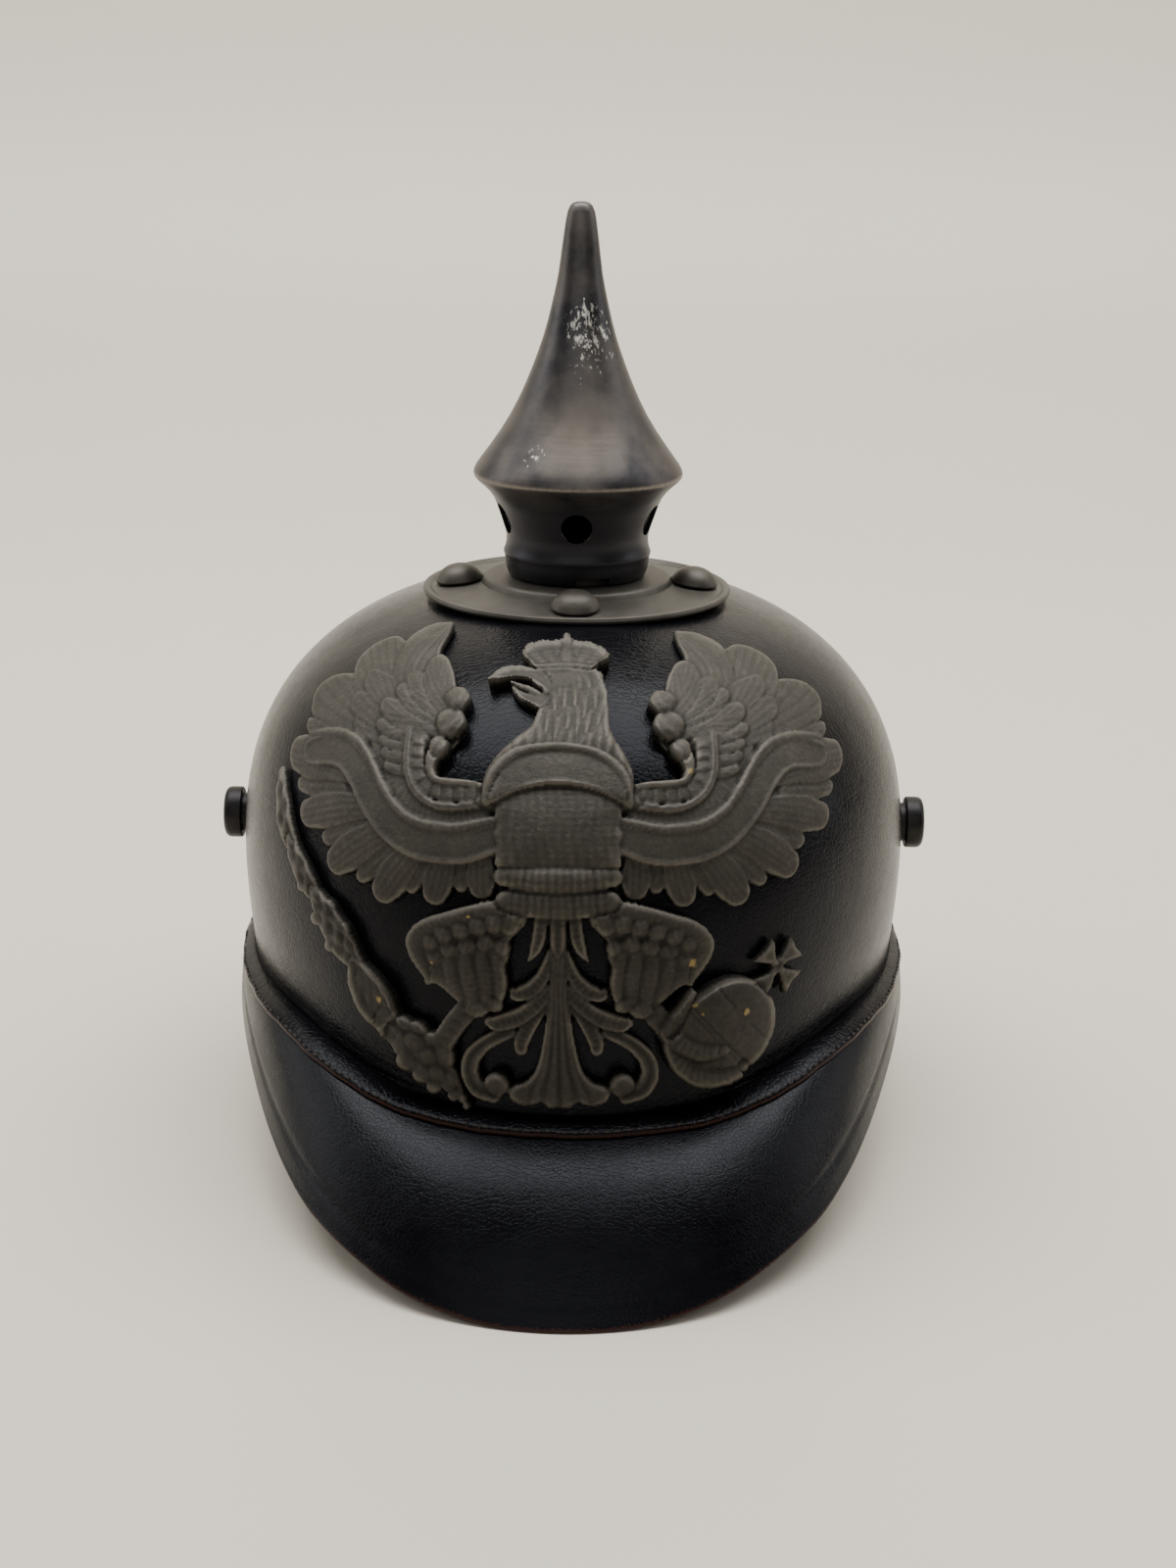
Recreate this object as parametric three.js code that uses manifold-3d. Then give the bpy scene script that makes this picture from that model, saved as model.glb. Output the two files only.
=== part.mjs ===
// A leather spiked helmet: a moulded skull with two sewn visors, a stamped eagle plate on the front,
// and a twist-off hollow spike on a studded base plate. Millimetres, +Z up. The helmet stands on its
// visors, the front faces -Y, and the origin lies on the table under the spike.
import * as THREE from 'three';
import { mergeVertices } from 'three/addons/utils/BufferGeometryUtils.js';
import Module from 'manifold-3d';

const wasm = await Module();
wasm.setup();

// Driving dimensions
const skull = {
  halfWidth: 88,
  halfLength: 107,
  wallTop: 72,
  rise: 69.2,
  roundness: 2.48,
  leather: 2.2,
  footLift: 0.6,
  ventLift: 0.96,
  stations: 42,
};
const lip = {
  front: 7.4,
  side: 1.2,
  seamFront: 36.6,
  seamSide: 44,
  riseFrom: 18,
  riseTo: 58,
  root: 0.3,
  fall: 0.3,
  thick: 2.1,
  tuck: 3,
  tuckPeak: 60,
};
const visor = { leather: 2.4, endTurn: 88, stations: 24, underLap: 0.5, lapOver: 0.4, shoulder: 0.58 };
const clearance = 0.3;
const fineness = 0.08;
const base = { radius: 40.5, rimTop: 140.9, stepTop: 143.2, hole: 11, stations: 32 };
const collar = { radius: 14.2, bore: 12.8, lip: 16.9, lipLow: 147.3, lipHigh: 148.5, gapWidth: 10.5 };
const bayonet = { turn: 14, release: 75, notchWidth: 8.8 };
const tab = { width: 8.2, low: 145.7, high: 146.9, inner: 14.6 };
const neck = { inner: 17.5, outer: 18.6, foot: 143.5, segments: 24 };
const vents = { count: 5, radius: 4, height: 159, inner: 12, outer: 27 };
const stud = { circle: 30.9, radius: 6.25, height: 4.6, seat: 141.35, slope: 6.7 };
const post = { height: 76, knob: 6.9, foot: 5.2, footDepth: 1.3, reach: 6.2 };
const plate = { girth: 90, turn: 1, shift: -2.2, pivot: 85, root: -1.5, back: 0.8, fineness: 0.12 };
const spine = { half: 5.5, top: 1.7, from: 40.5, to: 166, steps: 10, rivet: 3.2 };

const lacquer = new THREE.MeshStandardMaterial({ color: 0x17181c, roughness: 0.35, metalness: 0 });
const greySteel = new THREE.MeshStandardMaterial({ color: 0x59564f, roughness: 0.6, metalness: 0.7 });
const darkSteel = new THREE.MeshStandardMaterial({ color: 0x4f4c49, roughness: 0.4, metalness: 0.9 });

const rad = THREE.MathUtils.degToRad;
const { lerp, clamp, smoothstep } = THREE.MathUtils;

// Mesh helpers

// Keeps positions only, merges them, drops triangles that shrank to a line and faces the rest out.
function weld(geometry) {
  geometry.deleteAttribute('normal');
  geometry.deleteAttribute('uv');
  const merged = mergeVertices(geometry, 1e-4);
  const corner = (i) => new THREE.Vector3().fromBufferAttribute(merged.attributes.position, i);
  const { array } = merged.index;
  const kept = [];
  let volume = 0;
  for (let i = 0; i < array.length; i += 3) {
    const [a, b, c] = array.slice(i, i + 3);
    if (a !== b && b !== c && c !== a) {
      kept.push(a, b, c);
      volume += corner(a).dot(corner(b).cross(corner(c)));
    }
  }
  merged.setIndex(volume < 0 ? kept.reverse() : kept);
  return merged;
}

// Bends a flat grid into a closed skin: place(column, row) returns the point of each grid crossing.
function skin(columns, rows, place) {
  const grid = new THREE.PlaneGeometry(1, 1, columns, rows);
  const { position } = grid.attributes;
  for (let i = 0; i < position.count; i += 1) {
    const column = i % (columns + 1);
    const row = Math.floor(i / (columns + 1));
    position.setXYZ(i, ...place(column, row));
  }
  return weld(grid);
}

function toSolid(geometry) {
  const vertProperties = new Float32Array(geometry.attributes.position.array);
  const triVerts = new Uint32Array(geometry.index.array);
  return new wasm.Manifold(new wasm.Mesh({ numProp: 3, vertProperties, triVerts }));
}

// Slivers left by joins and cuts are merged away first.
function fromSolid(solid, slack = fineness) {
  const mesh = solid.asOriginal().simplify(slack).getMesh();
  const geometry = new THREE.BufferGeometry();
  geometry.setAttribute('position', new THREE.BufferAttribute(mesh.vertProperties, 3));
  geometry.setIndex(new THREE.BufferAttribute(mesh.triVerts, 1));
  return geometry;
}

// Turns a profile of [radius, z] about the Z axis.
function lathe(profile, segments) {
  const points = profile.map(([radius, z]) => new THREE.Vector2(radius, z));
  return weld(new THREE.LatheGeometry(points, segments).rotateX(Math.PI / 2));
}

// A block at a radius and turn about the spike's axis; turn 0 faces the front.
function radialBlock({ inner, outer, width, low, high, turn }) {
  const block = new THREE.BoxGeometry(width, outer - inner, high - low);
  block.translate(0, -(inner + outer) / 2, (low + high) / 2);
  return toSolid(weld(block.rotateZ(rad(turn))));
}

// Skull

// The dome's side curve: share is the fraction of the oval's half axes at that height.
function domeAt(lift, inset = 0) {
  const angle = (lift * Math.PI) / 2;
  const share = lift === 1 ? 0 : Math.cos(angle) ** (2 / skull.roundness);
  const z = skull.wallTop + (skull.rise - inset) * Math.sin(angle) ** (2 / skull.roundness);
  return { share, z };
}

function domeHeight(x, y) {
  const share = Math.hypot(x / skull.halfWidth, y / skull.halfLength);
  return skull.wallTop + skull.rise * (1 - share ** skull.roundness) ** (1 / skull.roundness);
}

// A point beside the oval wall: turn 0 is the front, and out is measured square to the wall.
function besideWall(turn, out, z) {
  const across = Math.sin(turn);
  const along = Math.cos(turn);
  const normal = new THREE.Vector2(across / skull.halfWidth, along / skull.halfLength).normalize();
  return [skull.halfWidth * across + out * normal.x, -(skull.halfLength * along + out * normal.y), z];
}

// The skull is open below and at its crown, under the spike. Its lower edge turns out into a sewing lip,
// wide at the front and back. The seam climbs to the sides, and draws the wall in beside the brow.
const fromMiddle = (turn) => Math.asin(Math.abs(Math.sin(turn)));
const lipReach = (turn) => lerp(lip.side, lip.front, Math.abs(Math.cos(turn)));
const seamRise = (turn) => smoothstep(fromMiddle(turn), rad(lip.riseFrom), rad(lip.riseTo));
const seamHeight = (turn) => lerp(lip.seamFront, lip.seamSide, seamRise(turn));
const lipTop = (turn, out) => seamHeight(turn) - lip.root - lip.fall * out;
const wallTuck = (turn) => lip.tuck * Math.sin(((fromMiddle(turn) / rad(lip.tuckPeak)) * Math.PI) / 2) ** 2;

function buildSkull() {
  const onDome = (lift, inset) => (turn) => {
    const { share, z } = domeAt(lift, inset);
    const x = (skull.halfWidth - inset) * share * Math.sin(turn);
    return [x, -(skull.halfLength - inset) * share * Math.cos(turn), z];
  };
  const onWall = (z, tuck, inset) => (turn) => besideWall(turn, -tuck * wallTuck(turn) - inset, z);
  const wallFoot = (turn) => besideWall(turn, -wallTuck(turn), seamHeight(turn) + skull.footLift);
  const onLip = (share, drop) => (turn) => {
    const out = lipReach(turn) * share;
    return besideWall(turn, out, lipTop(turn, out) - drop);
  };
  const foot = (turn) => {
    const out = -wallTuck(turn) - skull.leather;
    return besideWall(turn, out, lipTop(turn, out) - lip.thick);
  };
  const outerLifts = [skull.ventLift, 0.86, 0.72, 0.6, 0.5, 0.41, 0.33, 0.25, 0.16, 0.07, 0];
  const innerLifts = [0, 0.12, 0.3, 0.5, 0.74, skull.ventLift];
  const rows = [
    ...outerLifts.map((lift) => onDome(lift, 0)),
    onWall(55, 0.45, 0),
    wallFoot,
    onLip(0.2, 0),
    onLip(1, 0),
    onLip(1, lip.thick),
    foot,
    onWall(55, 0.45, skull.leather),
    ...innerLifts.map((lift) => onDome(lift, skull.leather)),
  ];
  const turnOf = (column) => ((column % skull.stations) / skull.stations) * 2 * Math.PI;
  return skin(skull.stations, rows.length, (column, row) => rows[row % rows.length](turnOf(column)));
}

// Visors: reach is how far the edge stands out from the wall, height is its height over the table.
const frontEdge = [
  { turn: 0, reach: 39.4, height: 0 },
  { turn: 6.5, reach: 38.8, height: 0 },
  { turn: 15, reach: 35.6, height: 2.7 },
  { turn: 30, reach: 24.8, height: 9.8 },
  { turn: 40, reach: 16.8, height: 14.8 },
  { turn: 50, reach: 10, height: 19.8 },
  { turn: 60, reach: 5.4, height: 24.6 },
  { turn: 70, reach: 3, height: 28.8 },
  { turn: 80, reach: 2.1, height: 32.4 },
  { turn: 88, reach: 1.9, height: 34.8 },
];
const rearEdge = [
  { turn: 0, reach: 39.4, height: 0 },
  { turn: 18, reach: 36, height: 0 },
  { turn: 33, reach: 27, height: 0 },
  { turn: 45, reach: 17, height: 8 },
  { turn: 55, reach: 10, height: 16.4 },
  { turn: 65, reach: 5.4, height: 23.8 },
  { turn: 76, reach: 2.8, height: 30.2 },
  { turn: 88, reach: 1.9, height: 34.8 },
];

function edgeAt(table, turn) {
  const angle = Math.min(Math.abs(turn), table.at(-1).turn);
  const next = Math.max(1, table.findIndex((row) => row.turn >= angle));
  const from = table[next - 1];
  const to = table[next];
  const mix = (angle - from.turn) / (to.turn - from.turn);
  return new THREE.Vector2(lerp(from.reach, to.reach, mix), lerp(from.height, to.height, mix));
}

// Section of a visor at one turn: out along under the lip, over the bend and down to the edge.
function visorSection(table, turn) {
  const bends = 4;
  const edge = edgeAt(table, turn);
  const underLip = (out) => new THREE.Vector2(out, lipTop(rad(turn), out) - lip.thick - clearance);
  const bend = underLip(lipReach(rad(turn)) - visor.lapOver);
  const shoulder = new THREE.Vector2(
    lerp(bend.x, edge.x, visor.shoulder),
    lerp(bend.y, edge.y, (1 - visor.shoulder) / 2),
  );
  const curve = new THREE.QuadraticBezierCurve(bend, shoulder, edge);
  const outer = [underLip(visor.underLap - wallTuck(rad(turn))), ...curve.getPoints(bends)];
  const inner = outer.map((point, i) => {
    const ahead = i < 2 ? new THREE.Vector2(1, -lip.fall) : curve.getTangent((i - 1) / bends);
    return point.clone().addScaledVector(new THREE.Vector2(ahead.y, -ahead.x).normalize(), visor.leather);
  });
  inner.at(-1).set(edge.x - visor.leather, edge.y);
  return [...outer, ...inner.reverse()];
}

function buildVisor(table, heading) {
  const { stations, endTurn } = visor;
  const loop = visorSection(table, 0).length;
  const place = (column, row) => {
    const inside = clamp(column - 1, 0, stations - 2);
    const turn = lerp(-endTurn, endTurn, inside / (stations - 2));
    const section = visorSection(table, turn);
    const spot = section[row % loop].clone();
    const atEnd = column === 0 || column === stations;
    if (atEnd) spot.add(section[loop - 1 - (row % loop)]).multiplyScalar(0.5);
    const past = atEnd ? Math.sign(turn) * 0.8 : 0;
    return besideWall(rad(turn + past + heading), spot.x, spot.y);
  };
  return skin(stations, loop, place);
}

// Eagle plate: laid out flat, u across and v up the front centre line from the table, with h the
// height over the leather, and then wrapped on the skull.
const meridian = [{ run: skull.wallTop, share: 1, z: skull.wallTop }];
for (let i = 1; i <= 120; i += 1) {
  const { share, z } = domeAt(i / 125);
  const last = meridian.at(-1);
  const step = Math.hypot((last.share - share) * skull.halfLength, z - last.z);
  meridian.push({ run: last.run + step, share, z });
}

function climb(v) {
  if (v <= skull.wallTop) return { share: 1, z: v };
  const next = meridian.findIndex((mark) => mark.run >= v);
  const from = meridian[next - 1];
  const to = meridian[next];
  const mix = (v - from.run) / (to.run - from.run);
  return { share: lerp(from.share, to.share, mix), z: lerp(from.z, to.z, mix) };
}

function onSkull(u, v, h, facing = 1) {
  const { share, z } = climb(v);
  const turn = u / (plate.girth * share);
  const x = skull.halfWidth * share * Math.sin(turn);
  const y = -skull.halfLength * share * Math.cos(turn);
  const above = Math.max(0, (z - skull.wallTop) / skull.rise);
  const flat = share ** (skull.roundness - 2);
  const normal = new THREE.Vector3(
    (x / skull.halfWidth ** 2) * flat,
    (y / skull.halfLength ** 2) * flat,
    above ** (skull.roundness - 1) / skull.rise,
  ).normalize();
  return [x + h * normal.x, facing * (y + h * normal.y), z + h * normal.z];
}

const onBack = (u, v, h) => onSkull(u, v, h, -1);

// The plate sits turned a little on the skull, and off its middle.
function onFront(u, v, h) {
  const lean = rad(plate.turn);
  const high = v - plate.pivot;
  const across = plate.shift + u * Math.cos(lean) - high * Math.sin(lean);
  return onSkull(across, plate.pivot + u * Math.sin(lean) + high * Math.cos(lean), h);
}

// One station of a raised strip: its place, half width and height over the leather.
const mark = (u, v, half, top) => ({ at: new THREE.Vector2(u, v), half, top });

// Cross sections of a strip: a gable for leaves and limbs, a flat top for feathers and bands.
const gable = [
  { across: -1, up: 0 },
  { across: 0, up: 1 },
  { across: 1, up: 0 },
];
const flatTop = [
  { across: -1, up: 0 },
  { across: -0.88, up: 1 },
  { across: 0.88, up: 1 },
  { across: 1, up: 0 },
];

// A raised strip through its stations, pinched shut at both ends. It starts inside the leather, and a
// gable is spread so that it has its stated width where it comes out.
function strip({ marks, section = gable, pinch = 0.35 }, wrap = onFront) {
  const last = marks.length - 1;
  const place = (column, row) => {
    const i = clamp(column - 1, 0, last);
    const { at, half, top } = marks[i];
    const ahead = marks[Math.min(i + 1, last)].at.clone().sub(marks[Math.max(i - 1, 0)].at).normalize();
    if (column === 0 || column > last + 1) {
      const end = at.clone().addScaledVector(ahead, Math.sign(column - 1) * pinch * half);
      return wrap(end.x, end.y, lerp(plate.root, top, 0.6));
    }
    const { across, up } = section[row % section.length];
    const spread = section === gable ? (top - plate.root) / (top - plate.back) : 1;
    const spot = at.clone().addScaledVector(new THREE.Vector2(-ahead.y, ahead.x), across * spread * half);
    return wrap(spot.x, spot.y, lerp(plate.root, top, up));
  };
  return toSolid(skin(last + 2, section.length, place));
}

// The room that the leather takes up behind a plate: a thick patch of the skull's own surface.
function leatherPatch({ across, low, high, columns, rows }, wrap) {
  const depth = -6;
  const loop = 2 * rows + 2;
  const place = (column, row) => {
    const k = row % loop;
    const inFront = k <= rows;
    const v = lerp(low, high, (inFront ? k : loop - 1 - k) / rows);
    const atEnd = column === 0 || column === columns;
    const h = inFront ? plate.back : depth;
    return wrap(lerp(-across, across, column / columns), v, atEnd ? (plate.back + depth) / 2 : h);
  };
  return toSolid(skin(columns, loop, place));
}

const mirrored = (item) => ({ ...item, marks: item.marks.map((m) => mark(-m.at.x, m.at.y, m.half, m.top)) });

// A feather widens from its root, rounds off at its tip, and may bow sideways.
const growth = [
  { along: 0, half: 0.62, top: 0.9 },
  { along: 0.84, half: 1, top: 1 },
];

function feather({ root, tip, wide, top = 2, bow = 0 }) {
  const from = new THREE.Vector2(...root);
  const run = new THREE.Vector2(...tip).sub(from);
  const sideways = new THREE.Vector2(-run.y, run.x).normalize();
  const marks = growth.map((step) => {
    const spot = from.clone().addScaledVector(run, step.along);
    spot.addScaledVector(sideways, bow * 4 * step.along * (1 - step.along));
    return mark(spot.x, spot.y, (step.half * wide) / 2, step.top * top);
  });
  return { marks, section: flatTop };
}

// A round boss, wider than high.
function boss({ at: [u, v], across, up = across, top }, wrap = onFront) {
  const sides = 8;
  const rings = [
    { out: 0, high: 0 },
    { out: 1, high: 0 },
    { out: 0.96, high: 0.55 },
    { out: 0.6, high: 0.88 },
    { out: 0, high: 1 },
  ];
  const place = (column, row) => {
    const angle = ((column % sides) / sides) * 2 * Math.PI;
    const { out, high } = rings[row];
    const h = lerp(plate.root, top, high);
    return wrap(u + across * out * Math.cos(angle), v + up * out * Math.sin(angle), h);
  };
  return toSolid(skin(sides, rings.length - 1, place));
}

// Feathers of the right wing; the left wing mirrors them.
const wingFeathers = [
  { root: [56, 113], tip: [81.4, 111.3], wide: 9.5 },
  { root: [58, 108.5], tip: [76, 105.2], wide: 4.8 },
  { root: [48, 106], tip: [72.7, 98.6], wide: 8.4 },
  { root: [48, 101.5], tip: [63.2, 95], wide: 4.6 },
  { root: [42, 102], tip: [60.8, 89.6], wide: 8.8 },
  { root: [40, 98.5], tip: [50.8, 88.4], wide: 4.6 },
  { root: [34, 100], tip: [44.6, 85.2], wide: 8.6 },
  { root: [32, 97.5], tip: [36.6, 88.1], wide: 4.2 },
  { root: [27, 99], tip: [30, 86.4], wide: 7.6 },
  { root: [23.8, 97.5], tip: [22.8, 90.3], wide: 4 },
  { root: [18.5, 100], tip: [18.6, 88.8], wide: 7 },
  { root: [55, 124.5], tip: [78.3, 125.4], wide: 13.2 },
  { root: [62, 120], tip: [77, 118.9], wide: 4.8 },
  { root: [48, 130], tip: [66.6, 135.3], wide: 12.5 },
  { root: [42, 130], tip: [61.5, 145.2], wide: 15.5 },
];

// Coverts fan round the shoulder, and a row of small ones follows the arm.
const coverts = [
  { root: [28, 138], tip: [31.2, 153], wide: 9.5, bow: -1, top: 3 },
  { root: [31, 136], tip: [38.6, 148.5], wide: 8, bow: -1, top: 2.7 },
  { root: [32, 133], tip: [43.6, 141.5], wide: 8, top: 2.8 },
  { root: [32, 129.5], tip: [47.5, 133], wide: 8, top: 2.9 },
  { root: [36, 126.5], tip: [48.6, 126], wide: 6.4, top: 2.7 },
  { root: [37, 121.8], tip: [48, 120.6], wide: 5.6, top: 2.6 },
  { root: [37, 117.5], tip: [45.8, 115.6], wide: 5, top: 2.5 },
];

// Curved strips that lie on both sides, given for the right one.
const twinStrips = [
  { // top primary
    section: flatTop,
    marks: [mark(41, 131, 5, 1.8), mark(46, 142, 6, 2), mark(44.5, 151, 5.5, 2), mark(38, 160, 3.6, 2)],
    pinch: 2,
  },
  { // web of the wing under arm and ribbon
    section: flatTop,
    marks: [mark(15, 106, 7, 1.6), mark(28, 105, 8, 1.6), mark(40, 110, 9, 1.6), mark(46, 126, 10, 1.6)],
  },
  { // ribbon
    section: flatTop,
    marks: [mark(15, 104.8, 4, 3.2), mark(22, 101.4, 4, 3), mark(30, 99.9, 4, 2.9), mark(38, 101.4, 4, 2.9),
      mark(46, 107, 4, 2.9), mark(53, 113.4, 4, 2.9), mark(60, 116.8, 4, 2.9), mark(70.5, 115.2, 4, 2.4)],
  },
  { // arm
    marks: [mark(38.8, 126, 1.8, 3.4), mark(38.9, 118, 1.8, 3.5), mark(35.6, 112.2, 1.8, 3.5),
      mark(29, 109.4, 1.8, 3.6), mark(18, 110.2, 1.8, 3.9)],
  },
  { // row of small coverts inside the arm
    section: flatTop,
    marks: [mark(35.2, 124, 2, 2.6), mark(35.2, 117.6, 2, 2.6), mark(31, 113, 2, 2.6),
      mark(18.5, 112.9, 2.2, 3)],
  },
  { // feathered top of the thigh
    marks: [mark(9, 87.6, 3.4, 3.8), mark(18, 84.6, 3.6, 4.6), mark(27, 81.4, 3.6, 4.6),
      mark(33, 76.6, 3.4, 4)],
  },
  { // thigh
    section: flatTop,
    marks: [mark(23.5, 80.5, 11.6, 3.6), mark(22.4, 73, 11.4, 4), mark(20.6, 64.5, 4.6, 3.2)],
  },
  { marks: [mark(20, 65, 3.2, 3.2), mark(24.6, 58.6, 2.8, 3.2), mark(29, 52, 2.7, 3.4)] }, // leg
  { // upper tail leaf
    marks: [mark(3.3, 84.6, 1.7, 2.8), mark(4.3, 80, 1.8, 2.8), mark(6.3, 75.8, 1.1, 2.4)],
  },
  { // second tail leaf
    marks: [mark(1.6, 76, 1.5, 2.8), mark(4, 70.4, 1.9, 3.2), mark(7.2, 67.2, 2, 3.2),
      mark(10.6, 67, 1.3, 2.8)],
  },
  { // third tail leaf
    marks: [mark(1.5, 68, 1.6, 3), mark(6.4, 62.6, 2, 3.4), mark(11.8, 59.5, 2.2, 3.4),
      mark(16.4, 59, 1.7, 3)],
  },
  { marks: [mark(3.4, 63.5, 1.5, 2.6), mark(7, 57.5, 2, 2.8), mark(8.8, 53, 1.6, 2.4)] }, // hanging tail leaf
  { // scroll
    marks: [mark(13, 57.4, 1.8, 2.8), mark(18.4, 53.4, 2, 3), mark(21, 47.4, 2.3, 3.2),
      mark(18.6, 42, 2.1, 3), mark(13.4, 41, 1.6, 2.8)],
  },
  { // side lobe of the tail's foot
    marks: [mark(2, 57, 1.6, 2.8), mark(4.4, 48.5, 2.3, 3), mark(7.4, 42.8, 2.6, 3.2),
      mark(10.6, 41.6, 2, 2.8)],
  },
];

// Strips on the centre line or on one side only.
const singleStrips = [
  { // tail stem
    marks: [mark(0, 88, 1.8, 3), mark(0, 70, 2, 3.2), mark(0, 52, 3.6, 3.2), mark(0, 40.2, 3.2, 2.8)],
  },
  { marks: [mark(0, 84.6, 1.8, 3.6), mark(0, 77, 1.6, 3.4)], pinch: 1 }, // top leaf
  { marks: [mark(-10.6, 88, 3, 3.8), mark(0, 87.7, 3.2, 5), mark(10.6, 88, 3, 3.8)] }, // waist roll
  { marks: [mark(-13, 94.2, 2.8, 4.2), mark(0, 93.6, 3.2, 6), mark(13, 94.2, 2.8, 4.2)] }, // belly roll
  { // collar arch over the breast
    section: flatTop,
    marks: [mark(-16.4, 112.8, 2.6, 4.4), mark(-9.4, 119.4, 4.4, 5.6), mark(0, 121.4, 4.6, 6),
      mark(9.4, 119.4, 4.4, 5.6), mark(16.4, 112.8, 2.6, 4.4)],
  },
  { // neck
    section: flatTop,
    marks: [mark(0.4, 119, 14, 4), mark(1.6, 130, 9.8, 4.2), mark(2.8, 140, 8, 4.8), mark(2, 148, 6.6, 5)],
  },
  { // upper beak
    marks: [mark(-2, 147, 3.6, 5.4), mark(-9, 146.8, 2.3, 5), mark(-13.4, 145.2, 1.7, 4.2),
      mark(-16.2, 142.6, 0.9, 3.4)],
  },
  { marks: [mark(-2, 140.2, 2.8, 4.4), mark(-7.6, 139.8, 1.6, 3.6), mark(-10.4, 141, 0.8, 3)] }, // lower beak
  { marks: [mark(-7, 152.2, 1.8, 4.8), mark(1.2, 151.8, 1.9, 6), mark(9, 151.2, 1.8, 4.8)] }, // crown rim
  { // sceptre
    marks: [mark(-22.4, 38.4, 1.2, 2.4), mark(-25.4, 41, 2.4, 3), mark(-32.8, 48.2, 6.4, 4.2),
      mark(-38, 53.2, 5, 3.8), mark(-40.8, 55.6, 3.4, 3.2), mark(-44.6, 60, 5.8, 4), mark(-50, 65, 3.4, 3.2),
      mark(-59.8, 74.8, 5.2, 3.4), mark(-63.4, 78.2, 3, 2.8), mark(-77, 91, 4, 2.6),
      mark(-80.4, 101.6, 3.4, 2.2)],
  },
  { // upper toe round the orb
    marks: [mark(26, 56, 2.6, 4.4), mark(31, 51.2, 2.2, 7), mark(41, 50.6, 1.6, 7.8)],
  },
  { marks: [mark(27.6, 53, 2.4, 3.6), mark(31.4, 45.8, 2.4, 5), mark(45, 43.6, 1.6, 4)] }, // lower toe
  { marks: [mark(34.4, 60, 1, 7), mark(40, 52.6, 1.2, 7.8), mark(46, 45, 1, 5)] }, // band of the orb
];

const crownLobes = [
  { root: [-1.6, 152.4], tip: [-8.8, 157], wide: 5.4, top: 4.4 },
  { root: [-0.6, 152.4], tip: [-4, 160.2], wide: 5.8, top: 5 },
  { root: [1.4, 152.4], tip: [1.6, 162.4], wide: 4.6, top: 5.4 },
  { root: [3.2, 152.4], tip: [7.4, 159.8], wide: 5.8, top: 5 },
  { root: [4.2, 152.4], tip: [12, 155.8], wide: 5.4, top: 4.4 },
];

const twinBosses = [
  { at: [25.4, 138.4], across: 4.4, top: 4.2 },
  { at: [26.4, 130.4], across: 5.2, top: 4.6 },
  { at: [30, 121.6], across: 4, up: 5.4, top: 4 },
  { at: [14.4, 44.4], across: 3.1, top: 4.6 },
];
const singleBosses = [
  { at: [0, 106], across: 17.4, up: 15, top: 5.2 }, // breast
  { at: [-1, 148], across: 6.4, up: 5, top: 5.8 }, // head
  { at: [41.2, 54.4], across: 12.7, top: 6.8 }, // orb
];

// Flared arms of the cross on the orb.
const cross = { at: [54.6, 67], reach: 6.4, inner: 1.2, outer: 3.2, top: 2.6, turns: [42, 132, 222, 312] };

function crossArm(turn) {
  const [u, v] = cross.at;
  const outward = [Math.cos(rad(turn)), Math.sin(rad(turn))];
  const along = (run, half) => mark(u + run * outward[0], v + run * outward[1], half, cross.top);
  return { marks: [along(-1, cross.inner), along(cross.reach, cross.outer)], section: flatTop, pinch: 0.02 };
}

function buildEagle() {
  const feathers = [...wingFeathers, ...coverts].map(feather);
  const twins = [...feathers, ...twinStrips];
  const singles = [...singleStrips, ...crownLobes.map(feather), ...cross.turns.map(crossArm)];
  const mirroredBosses = twinBosses.map((item) => ({ ...item, at: [-item.at[0], item.at[1]] }));
  const solids = [
    ...[...twins, ...twins.map(mirrored), ...singles].map((item) => strip(item)),
    ...[...twinBosses, ...mirroredBosses, ...singleBosses].map((item) => boss(item)),
  ];
  const leather = leatherPatch({ across: 104, low: 32, high: 174, columns: 16, rows: 12 }, onFront);
  return fromSolid(solids.reduce((joined, solid) => joined.add(solid)).subtract(leather), plate.fineness);
}

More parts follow.
